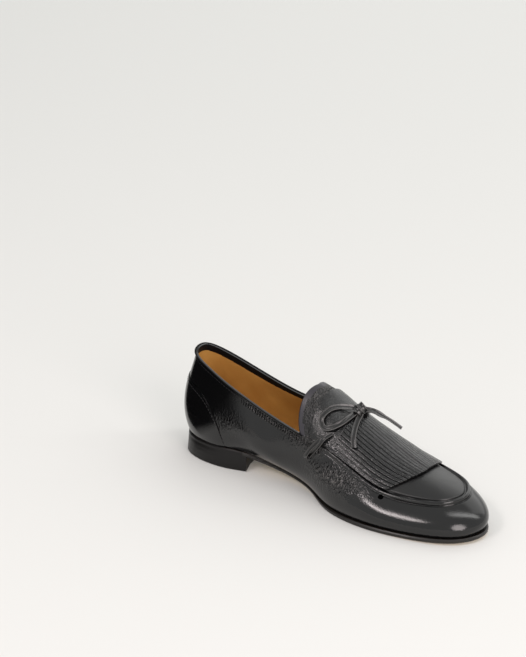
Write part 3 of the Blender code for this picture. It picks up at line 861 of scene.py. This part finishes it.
CLIP_START, CLIP_END = 0.05, 50.0
FLOOR_WIDE = 14.0
FLOOR_GLOW = 0.08
LIGHTS_AIM = Vector((0.0, 0.0, 0.03))
WORLD_COLOUR = "#FAFAF8"
WORLD_STRENGTH = 0.75
BOX_TINT = "#FFF4F3"
BOX_PLAIN = "#FFFFFD"
SoftBox = namedtuple("SoftBox", "name shape azimuth elevation far wide high roll watts colour")
SOFT_BOXES = (
    SoftBox("left_box", "RECTANGLE", -13.0, 45.0, 1.8, 0.65, 0.26, -28.0, 7.0, BOX_TINT),
    SoftBox("right_box", "ELLIPSE", 62.0, 19.0, 1.8, 0.95, 1.4, 0.0, 18.0, BOX_TINT),
    SoftBox("front_strip", "ELLIPSE", 118.0, 55.0, 1.8, 0.3, 2.2, 20.0, 6.0, BOX_PLAIN),
    SoftBox("back_box", "RECTANGLE", 188.0, 36.0, 2.2, 3.2, 2.0, 0.0, 14.5, BOX_PLAIN),
)

# Card beside the heel: its corners, how dense it is at each, and its faces
CARD_CORNERS = (
    (-14.0, -148.0, 0.6), (-28.0, -127.0, 0.6), (-110.0, 0.0, 0.6),
    (-110.0, 0.0, 250.0), (-28.0, -127.0, 250.0), (-14.0, -148.0, 250.0),
    (5.0, -77.0, 0.6), (10.0, -30.0, 0.6), (-20.0, -77.0, 0.6), (-15.0, -30.0, 0.6),
)
CARD_DENSITY = (0.0, 1.0, 1.0, 1.0, 1.0, 0.0, 0.0, 0.0, 1.0, 1.0)
CARD_FACES = ((0, 1, 4, 5), (1, 2, 3, 4), (0, 6, 8, 1), (6, 7, 9, 8), (1, 8, 9, 2))


def aim(obj, target):
    """Turn a camera or a lamp to a place."""
    obj.rotation_mode = "QUATERNION"
    obj.rotation_quaternion = (Vector(target) - obj.location).to_track_quat("-Z", "Y")


def direction(azimuth, elevation):
    """Unit vector to a place seen at an azimuth from the inner side, and an elevation."""
    a, e = math.radians(azimuth), math.radians(elevation)
    return np.array((math.sin(a) * math.cos(e), -math.cos(a) * math.cos(e), math.sin(e)))


def make_camera():
    """Camera at the photo's viewpoint."""
    camera = new_object("camera", bpy.data.cameras.new("camera"))
    camera.data.sensor_width = SENSOR
    camera.data.lens = FOCAL_PIXELS / LONG_SIDE_PIXELS * SENSOR
    away = direction(CAMERA_AZIMUTH, CAMERA_ELEVATION) * CAMERA_FAR
    camera.location = at(np.array(LOOK_AT) + away)
    aim(camera, at(LOOK_AT))
    camera.data.clip_start, camera.data.clip_end = CLIP_START, CLIP_END
    bpy.context.scene.camera = camera


def make_lights():
    """Soft boxes round the shoe, and an even pale studio."""
    for box in SOFT_BOXES:
        light = bpy.data.lights.new(box.name, "AREA")
        light.shape, light.size, light.size_y = box.shape, box.wide, box.high
        light.color = linear(box.colour)[:3]
        light.energy = box.watts
        lamp = new_object(box.name, light)
        lamp.location = LIGHTS_AIM + Vector(direction(box.azimuth, box.elevation)) * box.far
        lamp.visible_camera = False
        aim(lamp, LIGHTS_AIM)
        lamp.rotation_quaternion @= Quaternion((0.0, 0.0, 1.0), math.radians(box.roll))
    world = bpy.data.worlds.new("studio")
    bpy.context.scene.world = world
    world.use_nodes = True
    shade = world.node_tree.nodes["Background"]
    shade.inputs["Color"].default_value = linear(WORLD_COLOUR)
    shade.inputs["Strength"].default_value = WORLD_STRENGTH


def make_floor(colours):
    """Pale opal sheet under the shoe, lit a little from below as on a light table."""
    bpy.ops.object.select_all(action="DESELECT")
    bpy.ops.mesh.primitive_plane_add(size=FLOOR_WIDE, location=(0.0, 0.0, 0.0))
    floor = bpy.context.object
    floor.name = "floor"
    pale = linear(colours.floor)
    material, _, _ = new_material(
        "opal_sheet", Roughness=0.9, Specular_IOR_Level=0.1, Base_Color=pale, Emission_Color=pale,
        Emission_Strength=FLOOR_GLOW,
    )
    floor.data.materials.append(material)


def make_flag():
    """Black card with a soft edge that darkens the reflection in the heel's inner side, unseen
    itself.
    """
    card = mesh_object("black_card", CARD_CORNERS, CARD_FACES)
    write_attribute(card, "dense", CARD_DENSITY)
    material, tree, shader = new_material("black_card", Roughness=1.0,
                                          Base_Color=(0.0, 0.0, 0.0, 1.0))
    link(tree, shader, Alpha=add_node(tree, "Attribute", "Fac", attribute_name="dense"))
    card.data.materials.append(material)
    card.visible_camera = card.visible_diffuse = card.visible_shadow = False


class LOAFER_OT_stage(bpy.types.Operator):
    """Camera, pale floor and soft studio light."""

    bl_idname = "loafer.stage"
    bl_label = "Stage"

    def execute(self, context):
        context.scene.view_settings.view_transform = "Standard"
        make_camera()
        make_floor(context.scene.loafer_colours)
        make_lights()
        make_flag()
        return {"FINISHED"}


# Lace

LACE_DIP = 0.75
LACE_STEP = 0.8
FLAT_LOOP_SINK = 0.7
BAR_WIDTH = 0.75
BAR_TWISTS = 0.5
BAR_APART = 1.45
BAR_NORMAL_STEP = 0.05
TURN_STEPS = 40
# A way that none of the knot's axes runs
TURN_START = (0.3, 0.1, 1.0)

# Turns of lace that make the knot: axis, shift along it and radius
KnotTurn = namedtuple("KnotTurn", "axis shift radius")
KNOT_TURNS = (
    KnotTurn((0.40, 0.64, 0.65), -1.5, 3.7),
    KnotTurn((0.44, 0.70, 0.50), 1.9, 3.5),
    KnotTurn((0.80, -0.20, -0.50), 0.2, 3.1),
)


def bow_ups(node, path):
    """Which way the lace's face looks: away from the instep, or where a free end has turned."""
    if node in BOW_FACES:
        return np.tile(unit(np.array(BOW_FACES[node])), (len(path), 1))
    return from_axis(path, BOW_AXIS_Z)


def wrap(name, middle, axis, radius, outline):
    """One closed turn of lace round an axis."""
    first = unit(np.cross(axis, TURN_START))
    second = np.cross(unit(np.array(axis)), first)
    turn = np.linspace(0.0, 2 * np.pi, TURN_STEPS, endpoint=False)[:, None]
    spokes = np.cos(turn) * first + np.sin(turn) * second
    return swept(name, np.array(middle) + spokes * radius, spokes, outline, closed=True)


class LOAFER_OT_bow(bpy.types.Operator):
    """Knot, loops and ends of the tied lace."""

    bl_idname = "loafer.bow"
    bl_label = "Bow"

    def execute(self, context):
        sizes, colours = context.scene.loafer_sizes, context.scene.loafer_colours
        leather = lace_leather(colours)
        outline = band_outline(sizes.lace_wide, sizes.lace_thick, LACE_DIP)
        turns = [
            wrap("turn", KNOT_PLACE + unit(np.array(turn.axis)) * turn.shift, turn.axis,
                 turn.radius, outline)
            for turn in KNOT_TURNS
        ]
        bpy.ops.object.select_all(action="DESELECT")
        bpy.ops.mesh.primitive_uv_sphere_add(
            segments=24, ring_count=14, radius=sizes.knot * MM, location=at(KNOT_PLACE)
        )
        core = bpy.context.object
        bpy.ops.object.transform_apply(location=True, rotation=True, scale=True)
        bpy.ops.object.shade_smooth()
        knot = joined("bow_knot_tied", [core] + turns)
        dress(knot, "lace_leather", [leather], "bow_knot")
        for node, route in BOW_ROUTES.items():
            path = smooth_route(route, LACE_STEP)
            if node == "bow_loop_outer":
                path = path - bow_ups(node, path) * FLAT_LOOP_SINK
            share = np.linspace(0.0, 1.0, len(path))
            start, end, left = OUTER_END_NARROWS
            narrow = (1 - left) * smooth_step(share, start, end) * (node == "bow_end_outer")
            strand = swept(f"{node}_lace", path, bow_ups(node, path), outline, scale=1 - narrow)
            dress(strand, "lace_leather", [leather], node)
        return {"FINISHED"}


def bar_route(side):
    """Places and normals of the lace at one lower corner of the throat."""
    points = []
    for spot in LACE_BAR:
        place, normal = front_spot(spot.face, side, spot.along, spot.up)
        points.append((*(place + normal * spot.lift), *normal))
    return np.array(points)


class LOAFER_OT_lace_bars(bpy.types.Operator):
    """Two strands of lace that cross the throat's lower corners, half twisted together."""

    bl_idname = "loafer.lace_bars"
    bl_label = "Lace bars"

    def execute(self, context):
        sizes = context.scene.loafer_sizes
        leather = bpy.data.materials["folded_lace_leather"]
        outline = band_outline(BAR_WIDTH * sizes.lace_wide, sizes.lace_thick, LACE_DIP)
        for name, side in (("inner", -1), ("outer", 1)):
            spots = bar_route(side)
            path = smooth_route(spots[:, :3], LACE_STEP)
            normals = smooth_route(spots[:, 3:], BAR_NORMAL_STEP)
            share = np.linspace(0.0, 1.0, len(normals))
            wanted = np.linspace(0.0, 1.0, len(path))
            ups = np.stack([np.interp(wanted, share, normals[:, k]) for k in range(3)], axis=1)
            sides = unit(np.cross(np.gradient(path, axis=0), ups))
            turn = (2 * np.pi * BAR_TWISTS * (wanted - 0.5))[:, None]
            apart = np.cos(turn) * sides + np.sin(turn) * ups
            strands = [
                swept("bar", path + apart * side_step, ups, outline)
                for side_step in (-BAR_APART, BAR_APART)
            ]
            bar = joined(f"lace_bar_{name}_lace", strands)
            dress(bar, "lace_leather", [leather], f"lace_bar_{name}")
        return {"FINISHED"}


# Upper

REAR_COLUMNS = 110
FRONT_COLUMNS = 120
WALL_ROWS = np.concatenate([np.linspace(0.0, 0.84, 27), np.linspace(0.84, 1.0, 26)[1:]])
APRON_ROWS = np.concatenate([np.linspace(0.0, 0.16, 15), np.linspace(0.16, 1.0, 24)[1:]])
SKIN_WELD = 0.02
FAR_AWAY = 99.0
SEAM_STARTS = (0.0, 0.08)
SEAM_RISES = (0.5, 0.62)
SEAM_UNDER_KILTIE = 0.35
SEAM_STEEP = (-1.5, -0.7)
SEAM_GENTLE = (0.3, 1.9)
GROOVE_AT = 2.1
GROOVE_WIDE = 0.75
WALL_GROOVE_DEEP = 0.8
WALL_GROOVE_WIDE = 0.85
TONGUE_COLUMNS = np.linspace(0.0, 0.3, 40)
TONGUE_LINE = 8.0
TONGUE_LINE_DEEP = 0.15
TONGUE_LINE_WIDE = 0.9
TONGUE_LINE_OFF = -1.0
BINDING_TAPER = 0.45
BINDING_RUN = (25.0, 105.0)
BEAD_PROUD = 0.1
BEAD_SIDES = 14
ROLL_AT = 1.0
ROLL_FLAT = 0.9
ROLL_PROUD = 0.1
ROLL_SIDES = 18
HOLE_FRONT = 0.516
HOLE_UP = 0.884
HOLE_RADIUS = 1.9
HOLE_DEEP = 1.0
HOLE_SIDES = 20

# Slots of the upper's outer face. Its inner face takes the next slot, and a hole has only one.
TURNED_SLOT = 2
ROLLED_SLOT = 4
HOLE_SLOT = 6

# Soft troughs of the leather, from one place on the upper to another, with their width and depth
Crease = namedtuple("Crease", "name start end wide deep")
CREASES = (
    Crease("vamp_inner_low", (140.0, -32.0, 30.0), (158.0, -37.0, 17.0), 4.5, 0.55),
    Crease("vamp_inner_high", (150.0, -31.0, 30.0), (168.0, -37.0, 18.0), 4.0, 0.45),
    Crease("vamp_outer_low", (140.0, 33.0, 30.0), (158.0, 41.0, 15.0), 4.5, 0.55),
    Crease("vamp_outer_high", (151.0, 33.0, 28.0), (169.0, 39.0, 16.0), 4.0, 0.45),
    Crease("quarter_inner", (46.0, -26.0, 34.0), (66.0, -27.0, 26.0), 7.0, 0.7),
    Crease("quarter_outer", (48.0, 28.0, 34.0), (68.0, 29.0, 26.0), 7.0, 0.7),
    Crease("waist_inner", (84.0, -25.0, 40.0), (100.0, -27.0, 24.0), 8.0, 0.6),
    Crease("waist_outer", (84.0, 29.0, 40.0), (100.0, 33.0, 22.0), 8.0, 0.6),
    Crease("tongue_inner", (110.0, -9.0, 69.0), (122.0, -18.0, 60.0), 2.6, 0.4),
)

# Patches where the leather is drawn into fine crinkles
Patch = namedtuple("Patch", "name place reach strength")
PATCHES = (
    Patch("vamp_inner", (147.0, -34.0, 26.0), (24.0, 12.0, 8.0), 1.0),
    Patch("vamp_outer", (147.0, 37.0, 25.0), (24.0, 12.0, 8.0), 1.0),
    Patch("tongue", (116.0, 0.0, 68.0), (16.0, 30.0, 18.0), 0.8),
    Patch("throat_inner", (122.0, -27.0, 42.0), (16.0, 8.0, 8.0), 0.7),
    Patch("throat_outer", (122.0, 28.0, 42.0), (16.0, 8.0, 8.0), 0.7),
    Patch("quarter_inner", (52.0, -26.0, 36.0), (12.0, 8.0, 9.0), 0.25),
    Patch("apron", (170.0, 0.0, 42.0), (28.0, 34.0, 16.0), 0.35),
)

# How far plain leather is crinkled, where the thread puckers it, and where the apron is satin
PLAIN_CRINKLE = 0.015
PUCKER_CRINKLE = 0.5
PUCKER_DEEP = 0.55
PUCKER_FRONT = 0.12
SATIN_FROM_SEAM = (1.0, 3.0)
PUCKER_RUN = (58.0, 76.0)
PUCKER_BAND = (1.8, 2.6, 4.8, 6.2)


def upper_skin():
    """Outer face of wall, apron and tongue as one sheet, with lengths from its edges and seam."""
    v = np.linspace(0.0, 1.0, FRONT_COLUMNS + 1)
    rear = np.linspace(0.0, THROAT, REAR_COLUMNS + 1)
    half = np.concatenate([rear[:-1], THROAT + (1 - THROAT) * v])
    stations = np.concatenate([half, 2.0 - half[-2::-1]])
    wall = wall_grid(stations, WALL_ROWS)
    depth = run_lengths(wall[:, ::-1], 1)[:, ::-1]
    along = run_lengths(wall[:, -1:], 0)
    share = (np.minimum(stations, 2.0 - stations) - THROAT) / (1 - THROAT)
    level = np.ones((1, len(WALL_ROWS)))
    pieces = [grid_piece(
        "wall", wall, off_line=depth, along_line=along * level, front=share[:, None] * level,
        from_throat=FAR_AWAY * np.ones_like(depth),
    )]
    level = np.ones((1, len(APRON_ROWS)))
    for side in (-1, 1):
        apron = apron_grid(side, v, APRON_ROWS)
        pieces.append(grid_piece(
            "apron", apron, off_line=-run_lengths(apron, 1),
            along_line=run_lengths(apron[:, :1], 0) * level, front=v[:, None] * level,
            from_throat=run_lengths(apron, 0),
        ))
    skin = joined("upper_leather", pieces)
    set_outward(skin, SKIN_WELD)
    return skin


def bell(x, wide):
    """A soft hump, 1 at 0."""
    return np.exp(-(x / wide) ** 2)


def distance_to(points, start, end):
    """Distances of points from the straight line between two places."""
    start, end = np.array(start), np.array(end)
    run = end - start
    share = np.clip((points - start) @ run / (run @ run), 0.0, 1.0)
    return np.linalg.norm(points - start - share[:, None] * run, axis=1)


def upper_relief(skin, points, sizes):
    """How far each point of the upper moves out: seam, grooves, tongue line and soft creases."""
    off, front = read_attribute(skin, "off_line"), read_attribute(skin, "front")
    from_throat = read_attribute(skin, "from_throat")
    rise = SEAM_UNDER_KILTIE + (1 - SEAM_UNDER_KILTIE) * smooth_step(front, *SEAM_RISES)
    seam = np.where(front > 0.0, rise * smooth_step(front, *SEAM_STARTS), 0.0)
    lip = smooth_step(off, *SEAM_STEEP) - smooth_step(off, *SEAM_GENTLE)
    on_wall = WALL_GROOVE_DEEP * bell(off - GROOVE_AT, WALL_GROOVE_WIDE * GROOVE_WIDE)
    out = seam * sizes.seam_high * lip
    out -= seam * sizes.groove_deep * (bell(off + GROOVE_AT, GROOVE_WIDE) + on_wall)
    line = bell(from_throat - TONGUE_LINE, TONGUE_LINE_WIDE) * (off < TONGUE_LINE_OFF)
    out -= TONGUE_LINE_DEEP * line
    for crease in CREASES:
        out -= crease.deep * bell(distance_to(points, crease.start, crease.end), crease.wide)
    return out


def upper_patches(skin, points):
    """Write the strength of the fine crinkles, of the topline's puckers and of the satin apron."""
    crinkle = np.full(len(points), PLAIN_CRINKLE)
    for patch in PATCHES:
        near = np.linalg.norm((points - patch.place) / patch.reach, axis=1)
        crinkle = np.maximum(crinkle, patch.strength * bell(near, 1.0))
    off, front = read_attribute(skin, "off_line"), read_attribute(skin, "front")
    rise, full, hold, end = PUCKER_BAND
    band = smooth_step(off, rise, full) * (1 - smooth_step(off, hold, end))
    pucker = band * smooth_step(points[:, 0], *PUCKER_RUN) * (front < PUCKER_FRONT)
    write_attribute(skin, "crinkle", np.maximum(crinkle, PUCKER_CRINKLE * pucker))
    write_attribute(skin, "pucker", PUCKER_DEEP * pucker)
    write_attribute(skin, "satin", smooth_step(-off, *SATIN_FROM_SEAM))


def punch_holes(skin):
    """A small blind hole below each end of the kiltie."""
    for side in (-1, 1):
        place, normal = front_spot("wall", side, HOLE_FRONT, HOLE_UP)
        bpy.ops.object.select_all(action="DESELECT")
        bpy.ops.mesh.primitive_cylinder_add(
            vertices=HOLE_SIDES, radius=HOLE_RADIUS * MM, depth=2 * HOLE_DEEP * MM,
            location=at(place), rotation=Vector(normal).to_track_quat("Z", "Y").to_euler(),
        )
        punch = bpy.context.object
        for material in skin.data.materials:
            punch.data.materials.append(material)
        # The hole's inside takes the black, glossless material: painted shade in the recess
        for face in punch.data.polygons:
            face.material_index = HOLE_SLOT
        modify(skin, "BOOLEAN", object=punch, operation="DIFFERENCE", solver="EXACT",
               material_mode="INDEX")
        bpy.data.objects.remove(punch)


class LOAFER_OT_upper(bpy.types.Operator):
    """Hollow upper: vamp, quarters, apron and tongue in one, lined in tan leather."""

    bl_idname = "loafer.upper"
    bl_label = "Upper"

    def execute(self, context):
        sizes, colours = context.scene.loafer_sizes, context.scene.loafer_colours
        skin = upper_skin()
        points = shoe_points(skin)
        upper_patches(skin, points)
        normals = mesh_points(skin, "vertex_normals", "vector")
        move_points(skin, points + normals * upper_relief(skin, points, sizes)[:, None])
        off, front = read_attribute(skin, "off_line"), read_attribute(skin, "front")
        from_throat = read_attribute(skin, "from_throat")
        taper = 1 - BINDING_TAPER * smooth_step(points[:, 0], *BINDING_RUN)
        turned_in = (front <= 0.0) & (off < sizes.binding * taper)
        turned_in |= from_throat < sizes.binding
        rolled = from_throat < sizes.roll
        for face in skin.data.polygons:
            corners = list(face.vertices)
            slot = TURNED_SLOT * turned_in[corners].all()
            face.material_index = ROLLED_SLOT if rolled[corners].all() else slot
        calf = calf_leather(colours)
        lining = two_tone("tan_lining_calf", colours.lining, colours.lining_worn, 14.0, 0.6, 0.08,
                          0.55)
        # The rolled edge's lilac grey is a painted cool sheen
        rim = turned_leather_painted_sheen(colours)
        dress(skin, "black_leather", [
            calf, lining, calf, topline_leather(colours), rim, calf, hole_shade()
        ], "upper")
        modify(skin, "SOLIDIFY", thickness=sizes.wall * MM, offset=-1.0, material_offset=1,
               material_offset_rim=0)
        punch_holes(skin)
        shade_by_angle()
        return {"FINISHED"}


def topline(depth):
    """Line below the topline, from the inner throat round the heel to the outer throat."""
    stations = np.linspace(-THROAT, THROAT, 2 * REAR_COLUMNS + 1)[::-1]
    grid = wall_grid(stations, WALL_ROWS[::-1])
    return line_at(grid, run_lengths(grid, 1), depth)


def tongue_line(depth):
    """Line on the tongue beside its free edge, from the inner seam over the ridge to the outer."""
    rows = APRON_ROWS[1:]
    halves = []
    for side in (-1, 1):
        grid = apron_grid(side, TONGUE_COLUMNS, rows).transpose(1, 0, 2)
        halves.append(line_at(grid, run_lengths(grid, 1), depth))
    line = np.concatenate([halves[0][0], halves[1][0][-2::-1]])
    normals = np.concatenate([halves[0][1], -halves[1][1][-2::-1]])
    return line, normals * np.sign(normals[len(normals) // 2, 2])


class LOAFER_OT_edges(bpy.types.Operator):
    """Rolled edge of the tongue and the bead of the topline."""

    bl_idname = "loafer.edges"
    bl_label = "Edges"

    def execute(self, context):
        sizes = context.scene.loafer_sizes
        path, normals = topline(0.0)
        inside = path - normals * sizes.wall / 2
        bead = swept("topline_bead", inside, normals,
                     band_outline(sizes.bead, sizes.wall + BEAD_PROUD, 0.0, BEAD_SIDES))
        dress(bead, "black_leather", [bpy.data.materials["waxed_topline_leather"]])
        path, normals = tongue_line(ROLL_AT)
        inside = path - normals * (sizes.roll / 2 - ROLL_PROUD)
        roll = swept("tongue_roll", inside, normals,
                     band_outline(sizes.roll, sizes.roll * ROLL_FLAT, 0.0, ROLL_SIDES))
        dress(roll, "black_leather", [bpy.data.materials["turned_edge_leather"]])
        return {"FINISHED"}


# Pieces that follow a solid

HEEL_TOP_FROM = 4.0
SEAT_LAP = 1.25
SOLE_SHARP = 40.0
SOLE_ROUND = 0.5
SOLE_DOWN = -0.9
HEEL_DOWN = -0.8
KILTIE_ROUND = 0.35
COUNTER_ROUND = 0.3
COUNTER_THICK = 0.9
COUNTER_SHARE = 0.93
COUNTER_COLUMNS = 46
COUNTER_ROWS = 36
COUNTER_THIN = 0.15
COUNTER_FADE = (0.1, 0.85)
FRINGE_FROM = 143.0
FRINGE_TO = 197.0
FRINGE_AXIS_Z = 8.0
FRINGE_WAVES = 9.0
FRINGE_SPOT = (0.5, 2.0)
FRINGE_LIFT = 0.5

# Slots of the sole: painted edge, natural underside and waxed seat
EDGE_SLOT, BEND_SLOT, SEAT_SLOT = range(3)


def counter_top(stations):
    """Height of the counter's rounded edge on the wall."""
    share = np.clip(np.abs(stations) / COUNTER_REACH, 0.0, 1.0)
    return COUNTER_TOP * (1 - share**COUNTER_POWER) ** COUNTER_ROOT


def counter_stations(share, count):
    """Stations on both sides of the heel, out to a share of the counter and closer at its ends."""
    half = 1 - (1 - np.linspace(0.0, share, count)) ** 2
    return COUNTER_REACH * np.concatenate([-half[:0:-1], half])


def counter_face(stations, heights, out):
    """Points on the wall at shares of the counter's height, moved out, and their normals.

    The counter is thinned where it is low, so that its front edge runs out into the quarter.
    """
    step = 1e-3
    tops = counter_top(stations)
    points, normals = [], []
    for station, top in zip(stations, tops):
        block = wall_grid([station, station + step], np.append(heights * top, heights * top + step))
        count = len(heights)
        along, up = block[1, :count] - block[0, :count], block[0, count:] - block[0, :count]
        normal = unit(np.cross(along, up))
        thinned = COUNTER_THIN + (1 - COUNTER_THIN) * smooth_step(top / COUNTER_TOP, *COUNTER_FADE)
        points.append(block[0, :count] + normal * out * thinned)
        normals.append(normal)
    return np.array(points), np.array(normals)


class LOAFER_OT_counter(bpy.types.Operator):
    """Overlay round the back of the heel, with a rounded front edge."""

    bl_idname = "loafer.counter"
    bl_label = "Counter"

    def execute(self, context):
        stations = counter_stations(COUNTER_SHARE, COUNTER_COLUMNS)
        face, _ = counter_face(stations, np.linspace(0.0, 1.0, COUNTER_ROWS), COUNTER_OUT)
        zero = np.zeros(face.shape[:2])
        counter = grid_piece("counter_leather", face, crinkle=zero + PLAIN_CRINKLE, pucker=zero,
                             along_line=zero)
        modify(counter, "SOLIDIFY", thickness=COUNTER_THICK * COUNTER_OUT * MM, offset=-1.0)
        round_edges(counter, COUNTER_ROUND)
        shade_by_angle()
        dress(counter, "black_leather", [bpy.data.materials["glazed_calf_leather"]], "counter")
        return {"FINISHED"}


class LOAFER_OT_kiltie(bpy.types.Operator):
    """Fringed flap, its strips rounded and ending a little unevenly."""

    bl_idname = "loafer.kiltie"
    bl_label = "Kiltie"

    def execute(self, context):
        sizes, colours = context.scene.loafer_sizes, context.scene.loafer_colours
        kiltie = copy_of("kiltie", "kiltie_leather")
        round_edges(kiltie, KILTIE_ROUND)
        bpy.ops.object.shade_smooth()
        points = shoe_points(kiltie)
        across = np.arctan2(points[:, 1], points[:, 2] - FRINGE_AXIS_Z)
        ends = smooth_step(points[:, 0], FRINGE_FROM, FRINGE_TO)
        lift = [noise.noise((FRINGE_WAVES * turn, *FRINGE_SPOT)) for turn in across]
        lift = sizes.strip_lift * (FRINGE_LIFT + np.array(lift)) * ends
        move_points(kiltie, points + from_axis(points, FRINGE_AXIS_Z) * lift[:, None])
        leather = milled_leather("milled_kiltie_leather", colours.black, 0.16, 0.8, 0.3)
        dress(kiltie, "black_leather", [leather], "kiltie")
        return {"FINISHED"}


class LOAFER_OT_sole(bpy.types.Operator):
    """Outsole with a painted edge, heel block with its top piece, and the insole."""

    bl_idname = "loafer.sole"
    bl_label = "Sole"

    def execute(self, context):
        sizes, colours = context.scene.loafer_sizes, context.scene.loafer_colours
        edge = burnished_edge("painted_sole_edge", colours.edge, 1.3, 0.34)
        bend = two_tone("natural_sole_bend", colours.sole, colours.sole_shade, 30.0, 0.5, 0.05, 0.5)
        stack = burnished_edge("stacked_heel_leather", colours.heel, 3.0, 0.36, 1.36)
        sole = copy_of("outsole", "outsole_leather")
        seat_end = at((SEAT_END, 0.0, 0.0))[0]
        round_edges(sole, SOLE_ROUND)
        # The seat is waxed like the heel, and only the flat underside keeps its natural colour
        for face in sole.data.polygons:
            if face.center.x < seat_end:
                face.material_index = SEAT_SLOT
            else:
                face.material_index = BEND_SLOT if face.normal.z < SOLE_DOWN else EDGE_SLOT
        shade_by_angle(SOLE_SHARP)
        dress(sole, "sole_leather", [edge, bend, stack], "outsole")

        rubber = burnished_edge("heel_top_piece", colours.top_piece, 4.0, 0.6)
        heel = copy_of("heel", "heel_block")
        # The block laps the seat's lower edge, so that both show as one waxed face
        points = shoe_points(heel)
        points[:, 2] += np.where(points[:, 2] > HEEL_TOP_FROM, SEAT_LAP, 0.0)
        move_points(heel, points)
        round_edges(heel, SOLE_ROUND, SOLE_SHARP)
        for face in heel.data.polygons:
            face.material_index = 1 if face.normal.z < HEEL_DOWN else 0
        shade_by_angle(SOLE_SHARP)
        dress(heel, "heel_leather", [stack, rubber], "heel")

        lining = two_tone("tan_sock_calf", colours.lining, colours.lining_worn, 18.0, 0.6, 0.08,
                          0.5)
        insole = copy_of("insole", "insole_leather")
        modify(insole, "SUBSURF", levels=sizes.subdivide, render_levels=sizes.subdivide)
        bpy.ops.object.shade_smooth()
        dress(insole, "lining_leather", [lining], "insole")
        return {"FINISHED"}


# Stitching

TOPLINE_STITCH_AT = 3.2
COUNTER_STITCH_AT = 0.94
COUNTER_STITCH_SHARE = 0.88
COUNTER_STITCH_COLUMNS = 60


def counter_line():
    """Line just inside the counter's rounded edge, and its normals."""
    stations = counter_stations(COUNTER_STITCH_SHARE, COUNTER_STITCH_COLUMNS)
    points, normals = counter_face(stations, np.array([COUNTER_STITCH_AT]), COUNTER_OUT)
    return points[:, 0], normals[:, 0]


def stitch_row(name, line, normals, sizes):
    """A row of stitches along a line, each a copy of one rounded thread."""
    both = even(np.concatenate([line, normals], axis=1), sizes.stitch_pitch)
    places, ups = both[:, :3], unit(both[:, 3:])
    tangents = unit(np.gradient(places, axis=0))
    sides = unit(np.cross(tangents, ups))
    bpy.ops.object.select_all(action="DESELECT")
    bpy.ops.mesh.primitive_uv_sphere_add(segments=8, ring_count=6, radius=0.5)
    stitch = bpy.context.object
    shape = mesh_points(stitch)
    faces = [tuple(face.vertices) for face in stitch.data.polygons]
    bpy.data.objects.remove(stitch)
    shape = shape * (sizes.thread, sizes.thread, sizes.stitch_long)
    points, all_faces = [], []
    for place, up, tangent, side in zip(places, ups, tangents, sides):
        start = len(points) * len(shape)
        points.append(place + shape[:, :1] * side + shape[:, 1:2] * up + shape[:, 2:] * tangent)
        all_faces += [tuple(start + i for i in face) for face in faces]
    row = mesh_object(name, np.concatenate(points), all_faces)
    set_outward(row)
    bpy.ops.object.shade_smooth()
    return row


class LOAFER_OT_stitches(bpy.types.Operator):
    """Rows of stitches along the topline, the tongue and the counter."""

    bl_idname = "loafer.stitches"
    bl_label = "Stitches"

    def execute(self, context):
        sizes, colours = context.scene.loafer_sizes, context.scene.loafer_colours
        thread = waxed_thread(colours)
        rows = {
            "topline_stitches": topline(TOPLINE_STITCH_AT),
            "tongue_stitches": tongue_line(TONGUE_LINE),
            "counter_stitches": counter_line(),
        }
        for name, (line, normals) in rows.items():
            row = stitch_row(name, line, normals, sizes)
            dress(row, "black_leather", [thread])
        return {"FINISHED"}


class LOAFER_PT_panel(bpy.types.Panel):
    """Lists the steps that dress the loafer."""

    bl_idname = "LOAFER_PT_panel"
    bl_label = "Slip-on loafer"
    bl_space_type = "VIEW_3D"
    bl_region_type = "UI"
    bl_category = "Loafer"

    def draw(self, context):
        for group in (context.scene.loafer_sizes, context.scene.loafer_colours):
            for key in group.__annotations__:
                self.layout.prop(group, key)
        for step in STEPS:
            self.layout.operator(step.bl_idname)


STEPS = (
    LOAFER_OT_stage,
    LOAFER_OT_bow,
    LOAFER_OT_lace_bars,
    LOAFER_OT_upper,
    LOAFER_OT_edges,
    LOAFER_OT_counter,
    LOAFER_OT_kiltie,
    LOAFER_OT_sole,
    LOAFER_OT_stitches,
)
CLASSES = (LoaferSizes, LoaferColours, *STEPS, LOAFER_PT_panel)


def register():
    """Make the steps, the panel and the settings known to Blender."""
    for cls in CLASSES:
        bpy.utils.register_class(cls)
    bpy.types.Scene.loafer_sizes = PointerProperty(type=LoaferSizes)
    bpy.types.Scene.loafer_colours = PointerProperty(type=LoaferColours)


def unregister():
    """Take them away again."""
    del bpy.types.Scene.loafer_colours
    del bpy.types.Scene.loafer_sizes
    for cls in reversed(CLASSES):
        bpy.utils.unregister_class(cls)


def main():
    """Run every step in order."""
    register()
    bpy.ops.loafer.stage()
    bpy.ops.loafer.bow()
    bpy.ops.loafer.lace_bars()
    bpy.ops.loafer.upper()
    bpy.ops.loafer.edges()
    bpy.ops.loafer.counter()
    bpy.ops.loafer.kiltie()
    bpy.ops.loafer.sole()
    bpy.ops.loafer.stitches()


if __name__ == "__main__":
    main()
